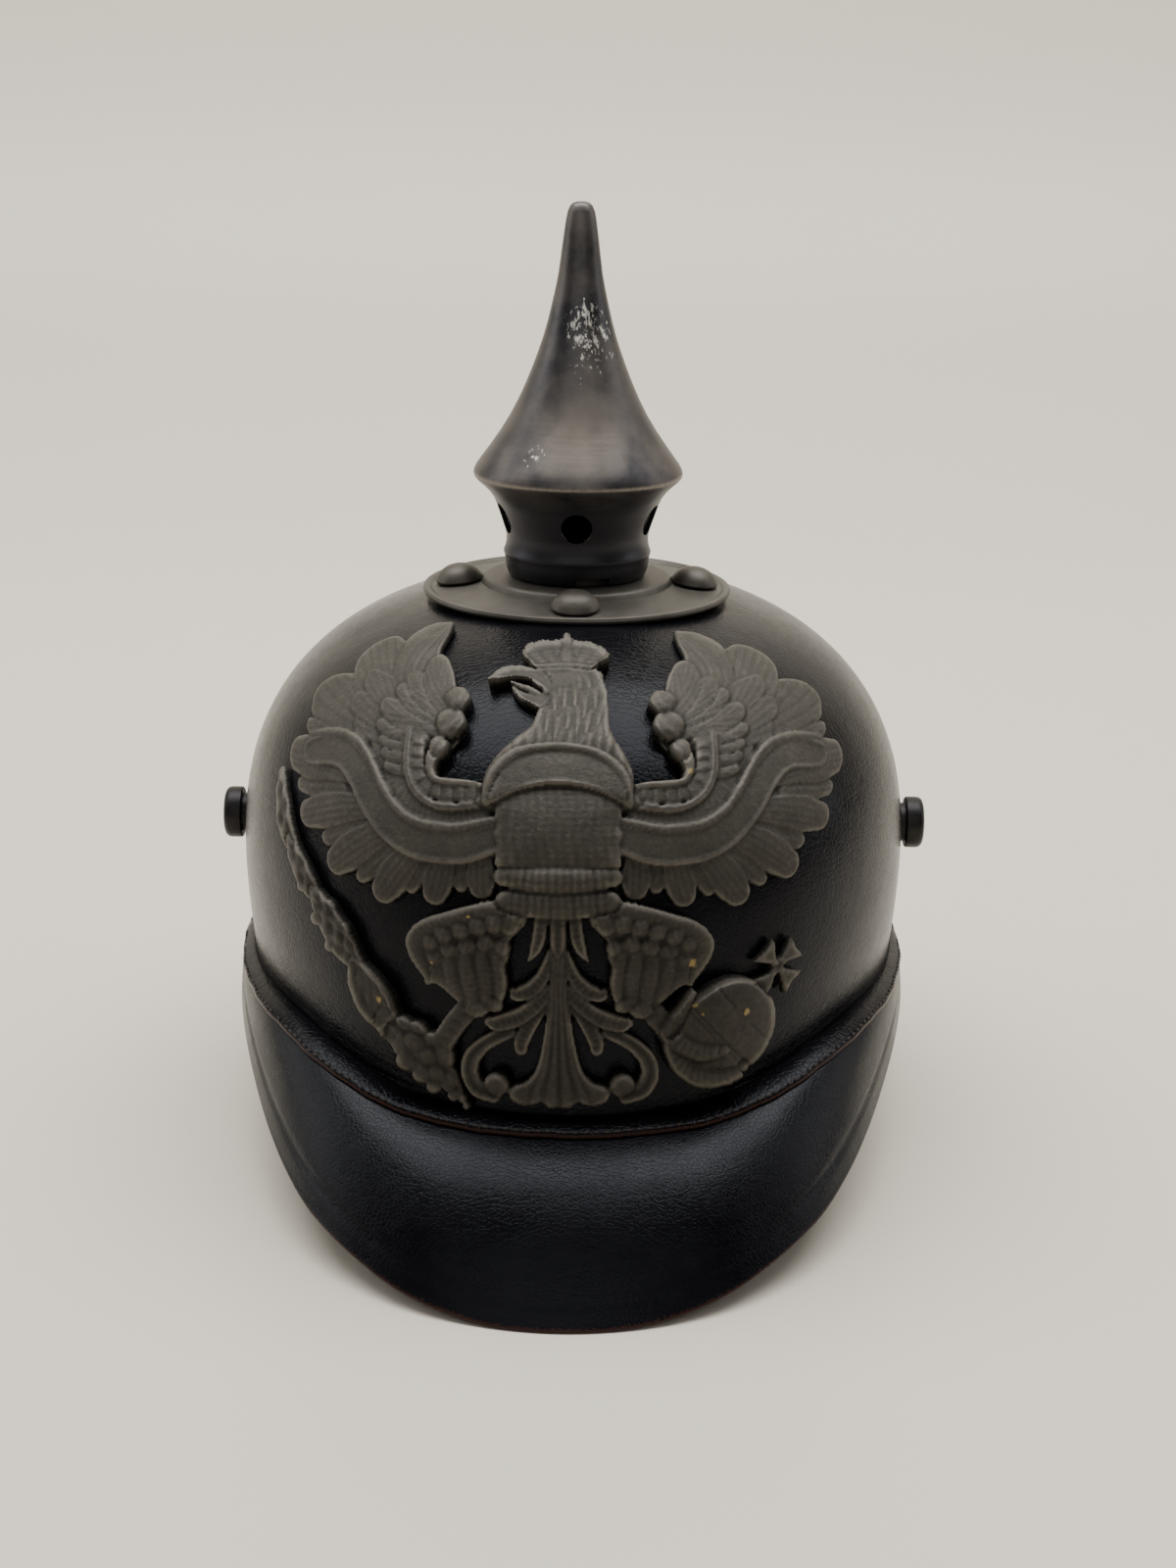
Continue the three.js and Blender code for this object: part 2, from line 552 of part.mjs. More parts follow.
// Spike base: the plate follows the dome underneath, and its collar carries the bayonet lip.
function buildBase() {
  const onDome = (radius, turn) => {
    const leather = domeHeight(radius * Math.sin(turn), radius * Math.cos(turn));
    return leather + clearance + 0.1;
  };
  const section = [
    { radius: base.hole, lift: 0 },
    { radius: 20, lift: 0 },
    { radius: 31, lift: 0 },
    { radius: base.radius - 0.7, lift: 0 },
    { radius: base.radius, lift: 0.7 },
    { radius: base.radius, z: base.rimTop - 0.6 },
    { radius: base.radius - 0.9, z: base.rimTop },
    { radius: base.radius - 2.2, z: base.rimTop - 0.2 },
    { radius: base.radius - 3.4, z: base.rimTop - 0.6 },
    { radius: 24.2, z: 141.8 },
    { radius: 22.8, z: 142.8 },
    { radius: 20, z: base.stepTop },
    { radius: collar.radius, z: base.stepTop },
    { radius: collar.radius, z: collar.lipLow },
    { radius: collar.lip, z: collar.lipLow },
    { radius: collar.lip, z: collar.lipHigh },
    { radius: collar.bore, z: collar.lipHigh },
    { radius: base.hole, z: 143.4 },
  ];
  const place = (column, row) => {
    const turn = ((column % base.stations) / base.stations) * 2 * Math.PI;
    const { radius, z, lift } = section[row % section.length];
    return [radius * Math.sin(turn), -radius * Math.cos(turn), z ?? onDome(radius, turn) + lift];
  };
  let solid = toSolid(skin(base.stations, section.length, place));
  for (const half of [0, 180]) {
    const turn = bayonet.turn + bayonet.release + half;
    const gap = { inner: collar.radius + 0.2, outer: collar.lip + 2, width: collar.gapWidth };
    solid = solid.subtract(radialBlock({ ...gap, low: collar.lipLow - 1, high: collar.lipHigh + 1, turn }));
  }
  return fromSolid(solid);
}

// Spike: a hollow turned shell, closed at the tip and open below.
function buildSpike() {
  const outside = [
    [0, 239.3], [2.2, 239], [3.6, 236.6], [4.7, 229], [5.7, 221.2], [9.4, 205.4], [12.2, 197.5],
    [15.65, 189.4], [20.2, 181.3], [26.1, 173.2], [27.3, 170.4], [26.3, 168.4], [22.6, 164.9], [20.7, 160.8],
    [neck.outer, 154.4], [18.9, 150.6], [19.3, 149.6], [18.9, 148.6], [18.5, 144.8], [17.9, neck.foot],
  ];
  const inside = [
    [neck.inner - 0.4, neck.foot], [neck.inner, 154.4], [19.5, 161.2], [25.1, 169.4], [24.8, 172],
    [11.1, 197.4], [4.5, 222], [0, 234],
  ];
  let solid = toSolid(lathe([...outside, ...inside], neck.segments));
  for (let i = 0; i < vents.count; i += 1) {
    const drill = new THREE.CylinderGeometry(vents.radius, vents.radius, vents.outer - vents.inner, 10);
    drill.translate(0, -(vents.inner + vents.outer) / 2, 0);
    drill.rotateZ((i / vents.count) * 2 * Math.PI);
    solid = solid.subtract(toSolid(weld(drill.translate(0, 0, vents.height))));
  }
  for (const turn of [bayonet.turn, bayonet.turn + 180]) {
    const notch = { inner: neck.inner - 2, outer: neck.outer + 2, width: bayonet.notchWidth };
    solid = solid.subtract(radialBlock({ ...notch, low: neck.foot - 1, high: tab.low, turn }));
    solid = solid.add(radialBlock({ ...tab, outer: neck.inner + 0.5, turn }));
  }
  return fromSolid(solid);
}

function buildStud() {
  const profile = [[0, stud.height]];
  for (let i = 1; i <= 3; i += 1) {
    const angle = (i / 3) * (Math.PI / 2);
    profile.push([stud.radius * Math.sin(angle), stud.height * Math.cos(angle) * 0.86 + 0.14 * stud.height]);
  }
  profile.push([stud.radius - 0.3, 0], [0, 0]);
  return lathe(profile, 14);
}

// A side post stands on the X axis, its foot at the origin.
function buildPost() {
  const { knob, foot, footDepth, reach } = post;
  const profile = [
    [0, 0], [foot, 0], [foot, footDepth], [knob, footDepth], [knob, reach - 1.4], [knob - 0.5, reach - 0.4],
    [knob - 1.6, reach], [0, reach],
  ];
  return lathe(profile, 16).rotateY(Math.PI / 2);
}

function buildSpine() {
  const { half, top, from, to, steps, rivet } = spine;
  const marks = Array.from({ length: steps }, (_, i) => mark(0, lerp(from, to, i / (steps - 1)), half, top));
  const heads = [from + 7, to - 7].map((v) => boss({ at: [0, v], across: rivet, top: top + 1.6 }, onBack));
  const leather = leatherPatch({ across: 20, low: 34, high: 174, columns: 4, rows: 13 }, onBack);
  const body = strip({ marks, section: flatTop, pinch: 0.3 }, onBack);
  return fromSolid(heads.reduce((joined, head) => joined.add(head), body).subtract(leather));
}

// Assembly
const helmet = new THREE.Group();

function place(name, geometry, material, parent = helmet) {
  const mesh = new THREE.Mesh(geometry, material);
  mesh.name = name;
  parent.add(mesh);
  return mesh;
}

place('skull', buildSkull(), lacquer);
place('front_visor', buildVisor(frontEdge, 0), lacquer);
place('rear_visor', buildVisor(rearEdge, 180), lacquer);
place('rear_spine', buildSpine(), darkSteel);
place('eagle_plate', buildEagle(), greySteel);
place('spike_base', buildBase(), greySteel);
place('spike', buildSpike(), darkSteel);

const studTurns = { stud_front: 0, stud_right: 90, stud_rear: 180, stud_left: 270 };
for (const [name, turn] of Object.entries(studTurns)) {
  const arm = new THREE.Group();
  arm.rotation.z = rad(turn);
  const mesh = place(name, buildStud(), darkSteel, arm);
  mesh.position.set(0, -stud.circle, stud.seat);
  mesh.rotation.x = rad(stud.slope);
  helmet.add(arm);
}

for (const side of [-1, 1]) {
  const mesh = place(side < 0 ? 'side_post_left' : 'side_post_right', buildPost(), darkSteel);
  mesh.position.set(side * (skull.halfWidth + clearance), 0, post.height);
  mesh.rotation.z = side < 0 ? Math.PI : 0;
}

export default helmet;
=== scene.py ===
import math
import random

import bmesh
import bpy
import numpy as np
from mathutils import Matrix, Vector


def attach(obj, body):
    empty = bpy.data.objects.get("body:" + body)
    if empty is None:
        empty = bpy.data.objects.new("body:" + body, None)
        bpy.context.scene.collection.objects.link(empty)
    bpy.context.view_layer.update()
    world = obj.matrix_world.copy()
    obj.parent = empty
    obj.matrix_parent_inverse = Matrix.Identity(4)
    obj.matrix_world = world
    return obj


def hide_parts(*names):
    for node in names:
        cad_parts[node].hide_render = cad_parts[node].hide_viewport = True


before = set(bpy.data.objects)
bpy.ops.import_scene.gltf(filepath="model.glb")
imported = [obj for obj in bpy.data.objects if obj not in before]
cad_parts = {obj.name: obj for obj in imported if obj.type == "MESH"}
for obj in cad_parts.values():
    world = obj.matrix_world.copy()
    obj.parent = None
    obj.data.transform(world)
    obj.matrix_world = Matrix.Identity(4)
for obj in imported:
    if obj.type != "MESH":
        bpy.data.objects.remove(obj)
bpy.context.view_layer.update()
mm = 0.001
rng = random.Random(1871)
print("frame loaded:", sorted(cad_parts))


def toLinear(hexColour):
    parts = [int(hexColour[i:i + 2], 16) / 255 for i in (1, 3, 5)]
    return [c / 12.92 if c <= 0.04045 else ((c + 0.055) / 1.055) ** 2.4 for c in parts] + [1.0]


def smoothStep(low, high, x):
    k = np.clip((x - low) / (high - low), 0, 1)
    return k * k * (3 - 2 * k)


def perMm(size):
    return 1000.0 / size  # noise scale for a feature of that many millimetres


# Each input takes a value or another node's output.
def setInputs(tree, node, inputs):
    for name, value in inputs.items():
        if isinstance(value, bpy.types.NodeSocket):
            tree.links.new(value, node.inputs[name])
        else:
            node.inputs[name].default_value = value


# Adds a node with its settings, links and colour stops, and returns the output asked for. Math takes its
# values in inputs 0 to 2, and a colour Mix takes its share in 0 and its colours in 6 and 7.
def addNode(tree, kind, output, inputs=None, stops=(), **settings):
    node = tree.nodes.new("ShaderNode" + kind)
    for name, value in settings.items():
        setattr(node, name, value)
    for i, (place, colour) in enumerate(stops):
        element = node.color_ramp.elements[i] if i < 2 else node.color_ramp.elements.new(place)
        element.position = place
        element.color = toLinear(colour) if isinstance(colour, str) else (colour, colour, colour, 1)
    setInputs(tree, node, inputs or {})
    return node.outputs[output]


def newMaterial(name):
    material = bpy.data.materials.new(name)
    material.use_nodes = True
    tree = material.node_tree
    return material, tree, tree.nodes["Principled BSDF"], addNode(tree, "TexCoord", "Object")


# Lacquered leather: layers of black lacquer over moulded hide. Deep black with a blue cast and a soft
# gloss, fine wiping scratches, a crazed skin, and red-brown hide where the edges are rubbed bare.
def lacqueredLeather(name, crackleMm, crackleDepth, roughLow, roughHigh, gloss):
    material, tree, shader, coords = newMaterial(name)
    worn = addNode(tree, "Attribute", "Fac", attribute_name="worn")
    streakRoom = addNode(tree, "Mapping", "Vector",
                         {"Vector": coords, "Scale": (0.1, 0.1, 1.0), "Rotation": (0.22, 0.12, 0)})
    streaks = addNode(tree, "TexNoise", "Fac",
                      {"Vector": streakRoom, "Scale": perMm(0.9), "Detail": 4.0, "Roughness": 0.65})
    clouds = addNode(tree, "TexNoise", "Fac",
                     {"Vector": coords, "Scale": perMm(28), "Detail": 5.0, "Roughness": 0.6})
    crackle = addNode(tree, "TexVoronoi", "Distance", feature="DISTANCE_TO_EDGE",
                      inputs={"Vector": coords, "Scale": perMm(crackleMm), "Randomness": 1.0})
    cracks = addNode(tree, "ValToRGB", "Color", {"Fac": crackle}, [(0.0, 0.0), (0.12, 1.0)])
    # the grain is drawn coarser than real hide's, to show
    grain = addNode(tree, "TexNoise", "Fac", {"Vector": coords, "Scale": perMm(0.7), "Detail": 3.0})
    rough = addNode(tree, "MapRange", "Result", {"Value": clouds, "From Min": 0.3, "From Max": 0.7,
                                                 "To Min": roughLow, "To Max": roughHigh})
    rough = addNode(tree, "Math", 0, {0: streaks, 1: 0.12, 2: rough}, operation="MULTIPLY_ADD")
    tint = addNode(tree, "ValToRGB", "Color", {"Fac": clouds}, [(0.3, "#050508"), (0.7, "#0d0d11")])
    ragged = addNode(tree, "Math", 0, {0: grain, 1: 0.7, 2: worn}, operation="MULTIPLY_ADD")
    bare = addNode(tree, "ValToRGB", "Color", {"Fac": ragged}, [(0.95, 0.0), (1.0, 1.0)])
    colour = addNode(tree, "Mix", 2, {0: bare, 6: tint, 7: toLinear("#2b1a14")}, data_type="RGBA")
    height = addNode(tree, "Math", 0, {0: cracks, 1: crackleDepth, 2: streaks}, operation="MULTIPLY_ADD")
    height = addNode(tree, "Math", 0, {0: grain, 1: 0.5, 2: height}, operation="MULTIPLY_ADD")
    fine = addNode(tree, "Bump", "Normal", {"Height": height, "Strength": 0.35, "Distance": 0.12 * mm})
    waves = addNode(tree, "Bump", "Normal",
                    {"Height": clouds, "Normal": fine, "Strength": 0.3, "Distance": 1.2 * mm})
    setInputs(tree, shader, {"Base Color": colour, "Roughness": rough, "Normal": waves, "IOR": 1.36,
                             "Specular IOR Level": gloss, "Specular Tint": toLinear("#e3e6ef")})
    return material


# Raw hide: the undyed flesh side inside the skull, dry and fibrous.
def rawHide(name):
    material, tree, shader, coords = newMaterial(name)
    fibre = addNode(tree, "TexNoise", "Fac", {"Vector": coords, "Scale": perMm(1.6), "Detail": 6.0})
    stain = addNode(tree, "TexNoise", "Fac", {"Vector": coords, "Scale": perMm(35), "Detail": 4.0})
    mixed = addNode(tree, "Math", 0, {0: fibre, 1: 0.45, 2: stain}, operation="MULTIPLY_ADD")
    colour = addNode(tree, "ValToRGB", "Color", {"Fac": mixed}, [(0.45, "#2b1b12"), (0.9, "#5c4230")])
    bump = addNode(tree, "Bump", "Normal", {"Height": fibre, "Strength": 0.5, "Distance": 0.25 * mm})
    setInputs(tree, shader, {"Base Color": colour, "Roughness": 0.82, "Normal": bump})
    return material


# Stamped sheet steel, oxidised grey: matt and warm, almost black in the hollows, lighter and smoother
# where hands and cloths have rubbed the raised edges, with a few specks of gilt left.
def oxidisedSteel(name):
    material, tree, shader, coords = newMaterial(name)
    # the relief attribute also carries painted shade over the eagle's lower parts
    relief = addNode(tree, "Attribute", "Fac", attribute_name="relief")
    gilt = addNode(tree, "Attribute", "Fac", attribute_name="gilt")
    mottle = addNode(tree, "TexNoise", "Fac",
                     {"Vector": coords, "Scale": perMm(7), "Detail": 6.0, "Roughness": 0.7})
    grit = addNode(tree, "TexNoise", "Fac",
                   {"Vector": coords, "Scale": perMm(1.2), "Detail": 5.0, "Roughness": 0.7})
    level = addNode(tree, "Math", 0, {0: mottle, 1: 0.3, 2: relief}, operation="MULTIPLY_ADD")
    level = addNode(tree, "Math", 0, {0: grit, 1: 0.32, 2: level}, operation="MULTIPLY_ADD")
    colour = addNode(tree, "ValToRGB", "Color", {"Fac": level},
                     [(0.34, "#0b0906"), (0.64, "#231f19"), (0.84, "#3d3931"), (1.0, "#58534a")])
    flecks = addNode(tree, "Math", 0, {0: grit, 1: 0.9, 2: gilt}, operation="MULTIPLY_ADD")
    flecks = addNode(tree, "MapRange", "Result", {"Value": flecks, "From Min": 1.08, "From Max": 1.3})
    colour = addNode(tree, "Mix", 2, {0: flecks, 6: colour, 7: toLinear("#8d7a4a")}, data_type="RGBA")
    rough = addNode(tree, "MapRange", "Result", {"Value": level, "From Min": 0.3, "From Max": 1.0,
                                                 "To Min": 0.72, "To Max": 0.5})
    bump = addNode(tree, "Bump", "Normal", {"Height": grit, "Strength": 0.9, "Distance": 0.3 * mm})
    setInputs(tree, shader, {"Base Color": colour, "Roughness": rough, "Normal": bump, "Metallic": 0.45})
    return material


# Spun and turned steel gone dark: satin grey to gunmetal, turning lines drawn coarser than real ones, to
# show, and bright chips. Places are in millimetres: the neck setting is the foot and top of painted shade on
# the neck, then the height of a bright line painted along the ridge, partly a painted highlight and partly
# rubbed metal; pale, a painted highlight patch, and marks are x, y, z and reach.
def turnedSteel(name, dark, light, roughLow, roughHigh, metallic, neckShadeAndGlint=(), pale=(), marks=()):
    material, tree, shader, coords = newMaterial(name)
    clouds = addNode(tree, "TexNoise", "Fac",
                     {"Vector": coords, "Scale": perMm(16), "Detail": 6.0, "Roughness": 0.62})
    ringRoom = addNode(tree, "Mapping", "Vector", {"Vector": coords, "Scale": (0.04, 0.04, 1.0)})
    rings = addNode(tree, "TexNoise", "Fac", {"Vector": ringRoom, "Scale": perMm(0.8), "Detail": 3.0})
    speckRoom = addNode(tree, "Mapping", "Vector",
                        {"Vector": coords, "Scale": (1.0, 1.0, 0.4), "Rotation": (0, 0.3, 0)})
    specks = addNode(tree, "TexNoise", "Fac",
                     {"Vector": speckRoom, "Scale": perMm(1.0), "Detail": 5.0, "Roughness": 0.75})
    colour = addNode(tree, "ValToRGB", "Color", {"Fac": clouds}, [(0.32, dark), (0.68, light)])

    def nearTo(x, y, z, reach):  # 1 at the place, 0 at its reach
        room = addNode(tree, "Mapping", "Vector", vector_type="TEXTURE",
                       inputs={"Vector": coords, "Location": (x * mm, y * mm, z * mm),
                               "Scale": (reach * mm,) * 3})
        return addNode(tree, "TexGradient", "Fac", {"Vector": room}, gradient_type="SPHERICAL")

    if neckShadeAndGlint:  # painted shade on the neck that fades out upwards, and a bright line painted along the ridge, partly a painted highlight and partly rubbed metal
        upward = addNode(tree, "SeparateXYZ", "Z", {"Vector": coords})
        foot, top, edge = (height * mm for height in neckShadeAndGlint)
        neckShade = addNode(tree, "MapRange", "Result", {"Value": upward, "From Min": foot, "From Max": top,
                                                    "To Min": 1.0, "To Max": 0.0})
        colour = addNode(tree, "Mix", 2, {0: neckShade, 6: colour, 7: toLinear("#37363a")}, data_type="RGBA")
        off = addNode(tree, "Math", 0, {0: upward, 1: edge}, operation="SUBTRACT")
        off = addNode(tree, "Math", 0, {0: off}, operation="ABSOLUTE")
        ridgeGlint = addNode(tree, "MapRange", "Result", {"Value": off, "From Min": 0.2 * mm, "From Max": 0.8 * mm,
                                                    "To Min": 1.0, "To Max": 0.0})
        ridgeGlint = addNode(tree, "Math", 0, {0: ridgeGlint, 1: specks}, operation="MULTIPLY")
        colour = addNode(tree, "Mix", 2, {0: ridgeGlint, 6: colour, 7: toLinear("#8f887e")}, data_type="RGBA")
    if pale:  # a painted highlight: a pale warm patch on the spike's lit front
        colour = addNode(tree, "Mix", 2, {0: nearTo(*pale), 6: colour, 7: toLinear("#968d82")},
                         data_type="RGBA")
    rub = 0.0
    for spot in marks:  # places where the dark skin is chipped through
        rub = addNode(tree, "Math", 0, {0: nearTo(*spot), 1: rub}, operation="ADD", use_clamp=True)
    chips = addNode(tree, "Math", 0, {0: rub, 1: 0.25, 2: specks}, operation="MULTIPLY_ADD")
    chips = addNode(tree, "ValToRGB", "Color", {"Fac": chips}, [(0.768, 0.0), (0.82, 1.0)])
    colour = addNode(tree, "Mix", 2, {0: chips, 6: colour, 7: toLinear("#dcd8ce")}, data_type="RGBA")
    rough = addNode(tree, "MapRange", "Result", {"Value": clouds, "From Min": 0.3, "From Max": 0.7,
                                                 "To Min": roughLow, "To Max": roughHigh})
    height = addNode(tree, "Math", 0, {0: specks, 1: 0.8, 2: rings}, operation="MULTIPLY_ADD")
    bump = addNode(tree, "Bump", "Normal", {"Height": height, "Strength": 0.25, "Distance": 0.1 * mm})
    setInputs(tree, shader, {"Base Color": colour, "Roughness": rough, "Normal": bump, "Metallic": metallic})
    return material


# Waxed linen thread, aged red-brown and dark with polish; its ply is drawn coarser than real, to show.
def waxedThread(name):
    material, tree, shader, coords = newMaterial(name)
    ply = addNode(tree, "TexNoise", "Fac", {"Vector": coords, "Scale": perMm(0.8), "Detail": 3.0})
    colour = addNode(tree, "ValToRGB", "Color", {"Fac": ply}, [(0.35, "#0c0807"), (0.7, "#241712")])
    bump = addNode(tree, "Bump", "Normal", {"Height": ply, "Strength": 0.6, "Distance": 0.15 * mm})
    setInputs(tree, shader, {"Base Color": colour, "Roughness": 0.6, "Normal": bump})
    return material


finishes = {
    "skullLeather": lacqueredLeather("black lacquered leather", crackleMm=1.5, crackleDepth=0.8,
                                     roughLow=0.12, roughHigh=0.22, gloss=0.2),
    "visorLeather": lacqueredLeather("black lacquered leather, coarse", crackleMm=1.1, crackleDepth=0.6,
                                     roughLow=0.17, roughHigh=0.3, gloss=0.3),
    "hide": rawHide("raw hide"),
    "eagle": oxidisedSteel("oxidised stamped steel"),
    # the spike's neck gets painted shade, and its ridge a bright line that is partly a painted highlight
    "spike": turnedSteel("dark turned steel", "#36363a", "#6a645f", 0.34, 0.5, 0.78,
                         # pale is a painted highlight patch on the spike's lit front
                         neckShadeAndGlint=(163, 169, 170.2), pale=(0.5, -21, 183, 15),
                         marks=[(3.5, -11, 203, 14), (-11, -20, 178, 8), (2, -8, 212, 11)]),
    "plate": turnedSteel("satin grey steel", "#45423b", "#65615a", 0.46, 0.6, 0.68),
    "stud": turnedSteel("dark domed steel", "#3d3a35", "#5e5951", 0.42, 0.56, 0.7),
    "post": turnedSteel("blackened steel", "#1c1b1c", "#343231", 0.36, 0.5, 0.85),
    "thread": waxedThread("waxed linen thread"),
}
print("finishes made:", len(finishes))


# Seams and poles merged, faces pointing outwards.
def mergedShell(bm):
    bmesh.ops.remove_doubles(bm, verts=bm.verts[:], dist=0.001 * mm)
    bmesh.ops.recalc_face_normals(bm, faces=bm.faces[:])
    return bm


# Grid of columns by rows, each point put in its place with its wear.
def wrappedGrid(columns, rows, place):
    bm = bmesh.new()
    bmesh.ops.create_grid(bm, x_segments=columns, y_segments=rows, size=0.5)
    worn = bm.verts.layers.float.new("worn")
    for vert in bm.verts:
        spot, rub = place(vert.co.x + 0.5, vert.co.y + 0.5)
        vert.co = Vector(spot) * mm
        vert[worn] = rub
    return mergedShell(bm)


# Profile of (radius, height) turned about the upright axis.
def turned(profile, steps):
    bm = bmesh.new()
    verts = [bm.verts.new((r * mm, 0, z * mm)) for r, z in profile]
    edges = [bm.edges.new(pair) for pair in zip(verts, verts[1:])]
    bmesh.ops.spin(bm, geom=verts + edges, cent=(0, 0, 0), axis=(0, 0, 1), angle=2 * math.pi,
                   steps=steps, use_merge=True)
    return mergedShell(bm)


def toObject(bm, name, materials=()):
    mesh = bpy.data.meshes.new(name)
    bm.to_mesh(mesh)
    bm.free()
    for material in materials:
        mesh.materials.append(material)
    piece = bpy.data.objects.new(name, mesh)
    bpy.context.scene.collection.objects.link(piece)
    return piece


def finishPiece(piece, body, slotName, *nodes, sharp=38):
    piece.data.shade_smooth()
    piece.data.set_sharp_from_angle(angle=math.radians(sharp))
    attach(piece, body)
    if nodes:
        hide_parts(*nodes)
    print(piece.name, "faces:", len(piece.data.polygons))


# Cuts a shape out of a piece.
def cutAway(piece, shape):
    cutter = toObject(shape, "cutter")
    cut = piece.modifiers.new("cut", "BOOLEAN")
    cut.operation = "DIFFERENCE"
    cut.solver = "EXACT"
    cut.object = cutter
    bpy.context.view_layer.update()
    evaluated = piece.evaluated_get(bpy.context.evaluated_depsgraph_get())
    mesh = bpy.data.meshes.new_from_object(evaluated)
    piece.modifiers.clear()
    piece.data = mesh
    bpy.data.objects.remove(cutter)


# Skull: the oval wall, the dome, and the lower edge turned out into a sewing lip.
skullSettings = {
    "halfWidth": 88.0, "halfLength": 107.0, "wallTop": 72.0, "footLift": 0.3, "rise": 69.2, "roundness": 2.48,
    "leather": 2.2, "ventLift": 0.96, "tuck": 3.0, "tuckPeak": 60.0, "tuckPower": 1.6, "hideFacing": -0.5,
    "lipFront": 6.6, "lipSide": 1.2, "seamFront": 36.6, "seamSide": 44.0, "riseFrom": 18.0, "riseTo": 58.0,
    "lipRoot": 0.3, "lipFall": 0.3, "lipThick": 1.5, "lipCrown": 0.45, "lipRub": 0.25, "ragged": 0.12,
    "crownSpread": 1.02, "crownPower": 0.8,
    "raggedWaves": ((23, 1.0, 0), (57, 0.7, 1)),  # waves round the edge, size, start
    "footEase": 0.5, "footOut": -2.0, "footBulge": ((0.975, 0.25), (1.0, 0.1)),
    "lipEdge": ((1.0, -0.1, 0.5, 0.0), (1.0, -0.4, 0.8, 0.15), (1.0, -0.9, 0.8, 0.15),
                (1.0, -1.3, 0.6, 0.05)),  # share of the reach, rise, rub, step out
    "wallShares": (0.11, 0.22, 0.33, 0.44, 0.55, 0.66, 0.76, 0.84, 0.9, 0.945),
    "lipShares": (0.05, 0.12, 0.22, 0.34, 0.46, 0.58, 0.7, 0.82, 0.92),
    "innerShares": (0.98, 0.86, 0.7, 0.5, 0.25),
    "stations": 240, "domeRows": 44, "innerRows": 20,
}


# A point that far out from the wall, at a turn from the front and a height.
def besideWall(turn, out, z):
    s = skullSettings
    across, along = math.sin(turn), math.cos(turn)
    nx, ny = across / s["halfWidth"], along / s["halfLength"]
    size = math.hypot(nx, ny)
    x = s["halfWidth"] * across + out * nx / size
    y = -(s["halfLength"] * along + out * ny / size)
    return (x, y, z)


# A point on the dome: lift 0 is its foot, 1 the top.
def domePoint(lift, turn, inset):
    s = skullSettings
    angle = lift * math.pi / 2
    share = max(0.0, math.cos(angle)) ** (2 / s["roundness"])
    z = s["wallTop"] + (s["rise"] - inset) * math.sin(angle) ** (2 / s["roundness"])
    x = (s["halfWidth"] - inset) * share * math.sin(turn)
    y = -(s["halfLength"] - inset) * share * math.cos(turn)
    return (x, y, z)


def fromMiddle(turn):  # degrees round from the front or back centre line
    return math.degrees(math.asin(min(1.0, abs(math.sin(turn)))))


def lipReach(turn):
    s = skullSettings
    return s["lipSide"] + (s["lipFront"] - s["lipSide"]) * math.cos(turn) ** 2


def raggedReach(turn):
    s = skullSettings
    waves = sum(size * math.sin(count * turn + start) for count, size, start in s["raggedWaves"])
    return lipReach(turn) + s["ragged"] * waves


def seamHeight(turn):
    s = skullSettings
    climb = float(smoothStep(s["riseFrom"], s["riseTo"], fromMiddle(turn)))
    return s["seamFront"] + (s["seamSide"] - s["seamFront"]) * climb


def lipTop(turn, out):
    return seamHeight(turn) - skullSettings["lipRoot"] - skullSettings["lipFall"] * out


def wallTuck(turn):
    s = skullSettings
    return s["tuck"] * math.sin(fromMiddle(turn) / s["tuckPeak"] * math.pi / 2) ** 2


def makeSkull():
    s = skullSettings
    rows = []

    def wallRow(share, inset, bulge=0.0):  # share 0 is the wall's top, 1 its foot
        def spot(turn):
            z = s["wallTop"] + (seamHeight(turn) + s["footLift"] - s["wallTop"]) * share
            return besideWall(turn, bulge - share ** s["tuckPower"] * wallTuck(turn) - inset, z)
        rows.append((spot, 0.0))

    def lipRow(share, rise, rub, over=0.0):  # share 0 is the lip's root, 1 its edge
        def spot(turn):
            root = -wallTuck(turn)
            out = root + (raggedReach(turn) - root) * share + over
            return besideWall(turn, out, lipTop(turn, out) + rise)
        rows.append((spot, rub))

    def innerFoot(turn):
        out = s["footEase"] - s["leather"] - wallTuck(turn)
        return besideWall(turn, out, lipTop(turn, s["footOut"]) - s["lipThick"])

    def domeRow(lift, inset):
        rows.append((lambda turn: domePoint(lift, turn, inset), 0.0))

    for lift in np.linspace(s["ventLift"], 0, s["domeRows"]):
        domeRow(lift, 0)
    for share in s["wallShares"]:
        wallRow(share, 0)
    for share, bulge in s["footBulge"]:
        wallRow(share, 0, bulge)
    for share in s["lipShares"]:
        crown = math.sin(math.pi * min(1, share * s["crownSpread"])) ** s["crownPower"]
        lipRow(share, s["lipCrown"] * crown, s["lipRub"] * share ** 4)
    for row in s["lipEdge"]:
        lipRow(*row)
    lipRow(1.0, -s["lipThick"], 0.3, -0.25)
    lipRow(0.5, -s["lipThick"], 0.0)
    rows.append((innerFoot, 0.0))
    for share in s["innerShares"]:
        wallRow(share, s["leather"])
    for lift in np.linspace(0, s["ventLift"], s["innerRows"]):
        domeRow(lift, s["leather"])
    rows.append(rows[0])
    count = len(rows) - 1

    def place(x, y):
        spot, rub = rows[round(y * count)]
        return spot(x * 2 * math.pi), rub

    bm = wrappedGrid(s["stations"], count, place)
    for face in bm.faces:  # the hollow side is bare hide
        c = face.calc_center_median() / mm
        outward = Vector((c.x / s["halfWidth"] ** 2, c.y / s["halfLength"] ** 2,
                          max(0.0, c.z - s["wallTop"]) / s["rise"] ** 2)).normalized()
        face.material_index = 1 if face.normal.dot(outward) < s["hideFacing"] else 0
    return toObject(bm, "leather_skull", [finishes["skullLeather"], finishes["hide"]])


finishPiece(makeSkull(), "helmet", "lacquered_leather", "skull", sharp=60)


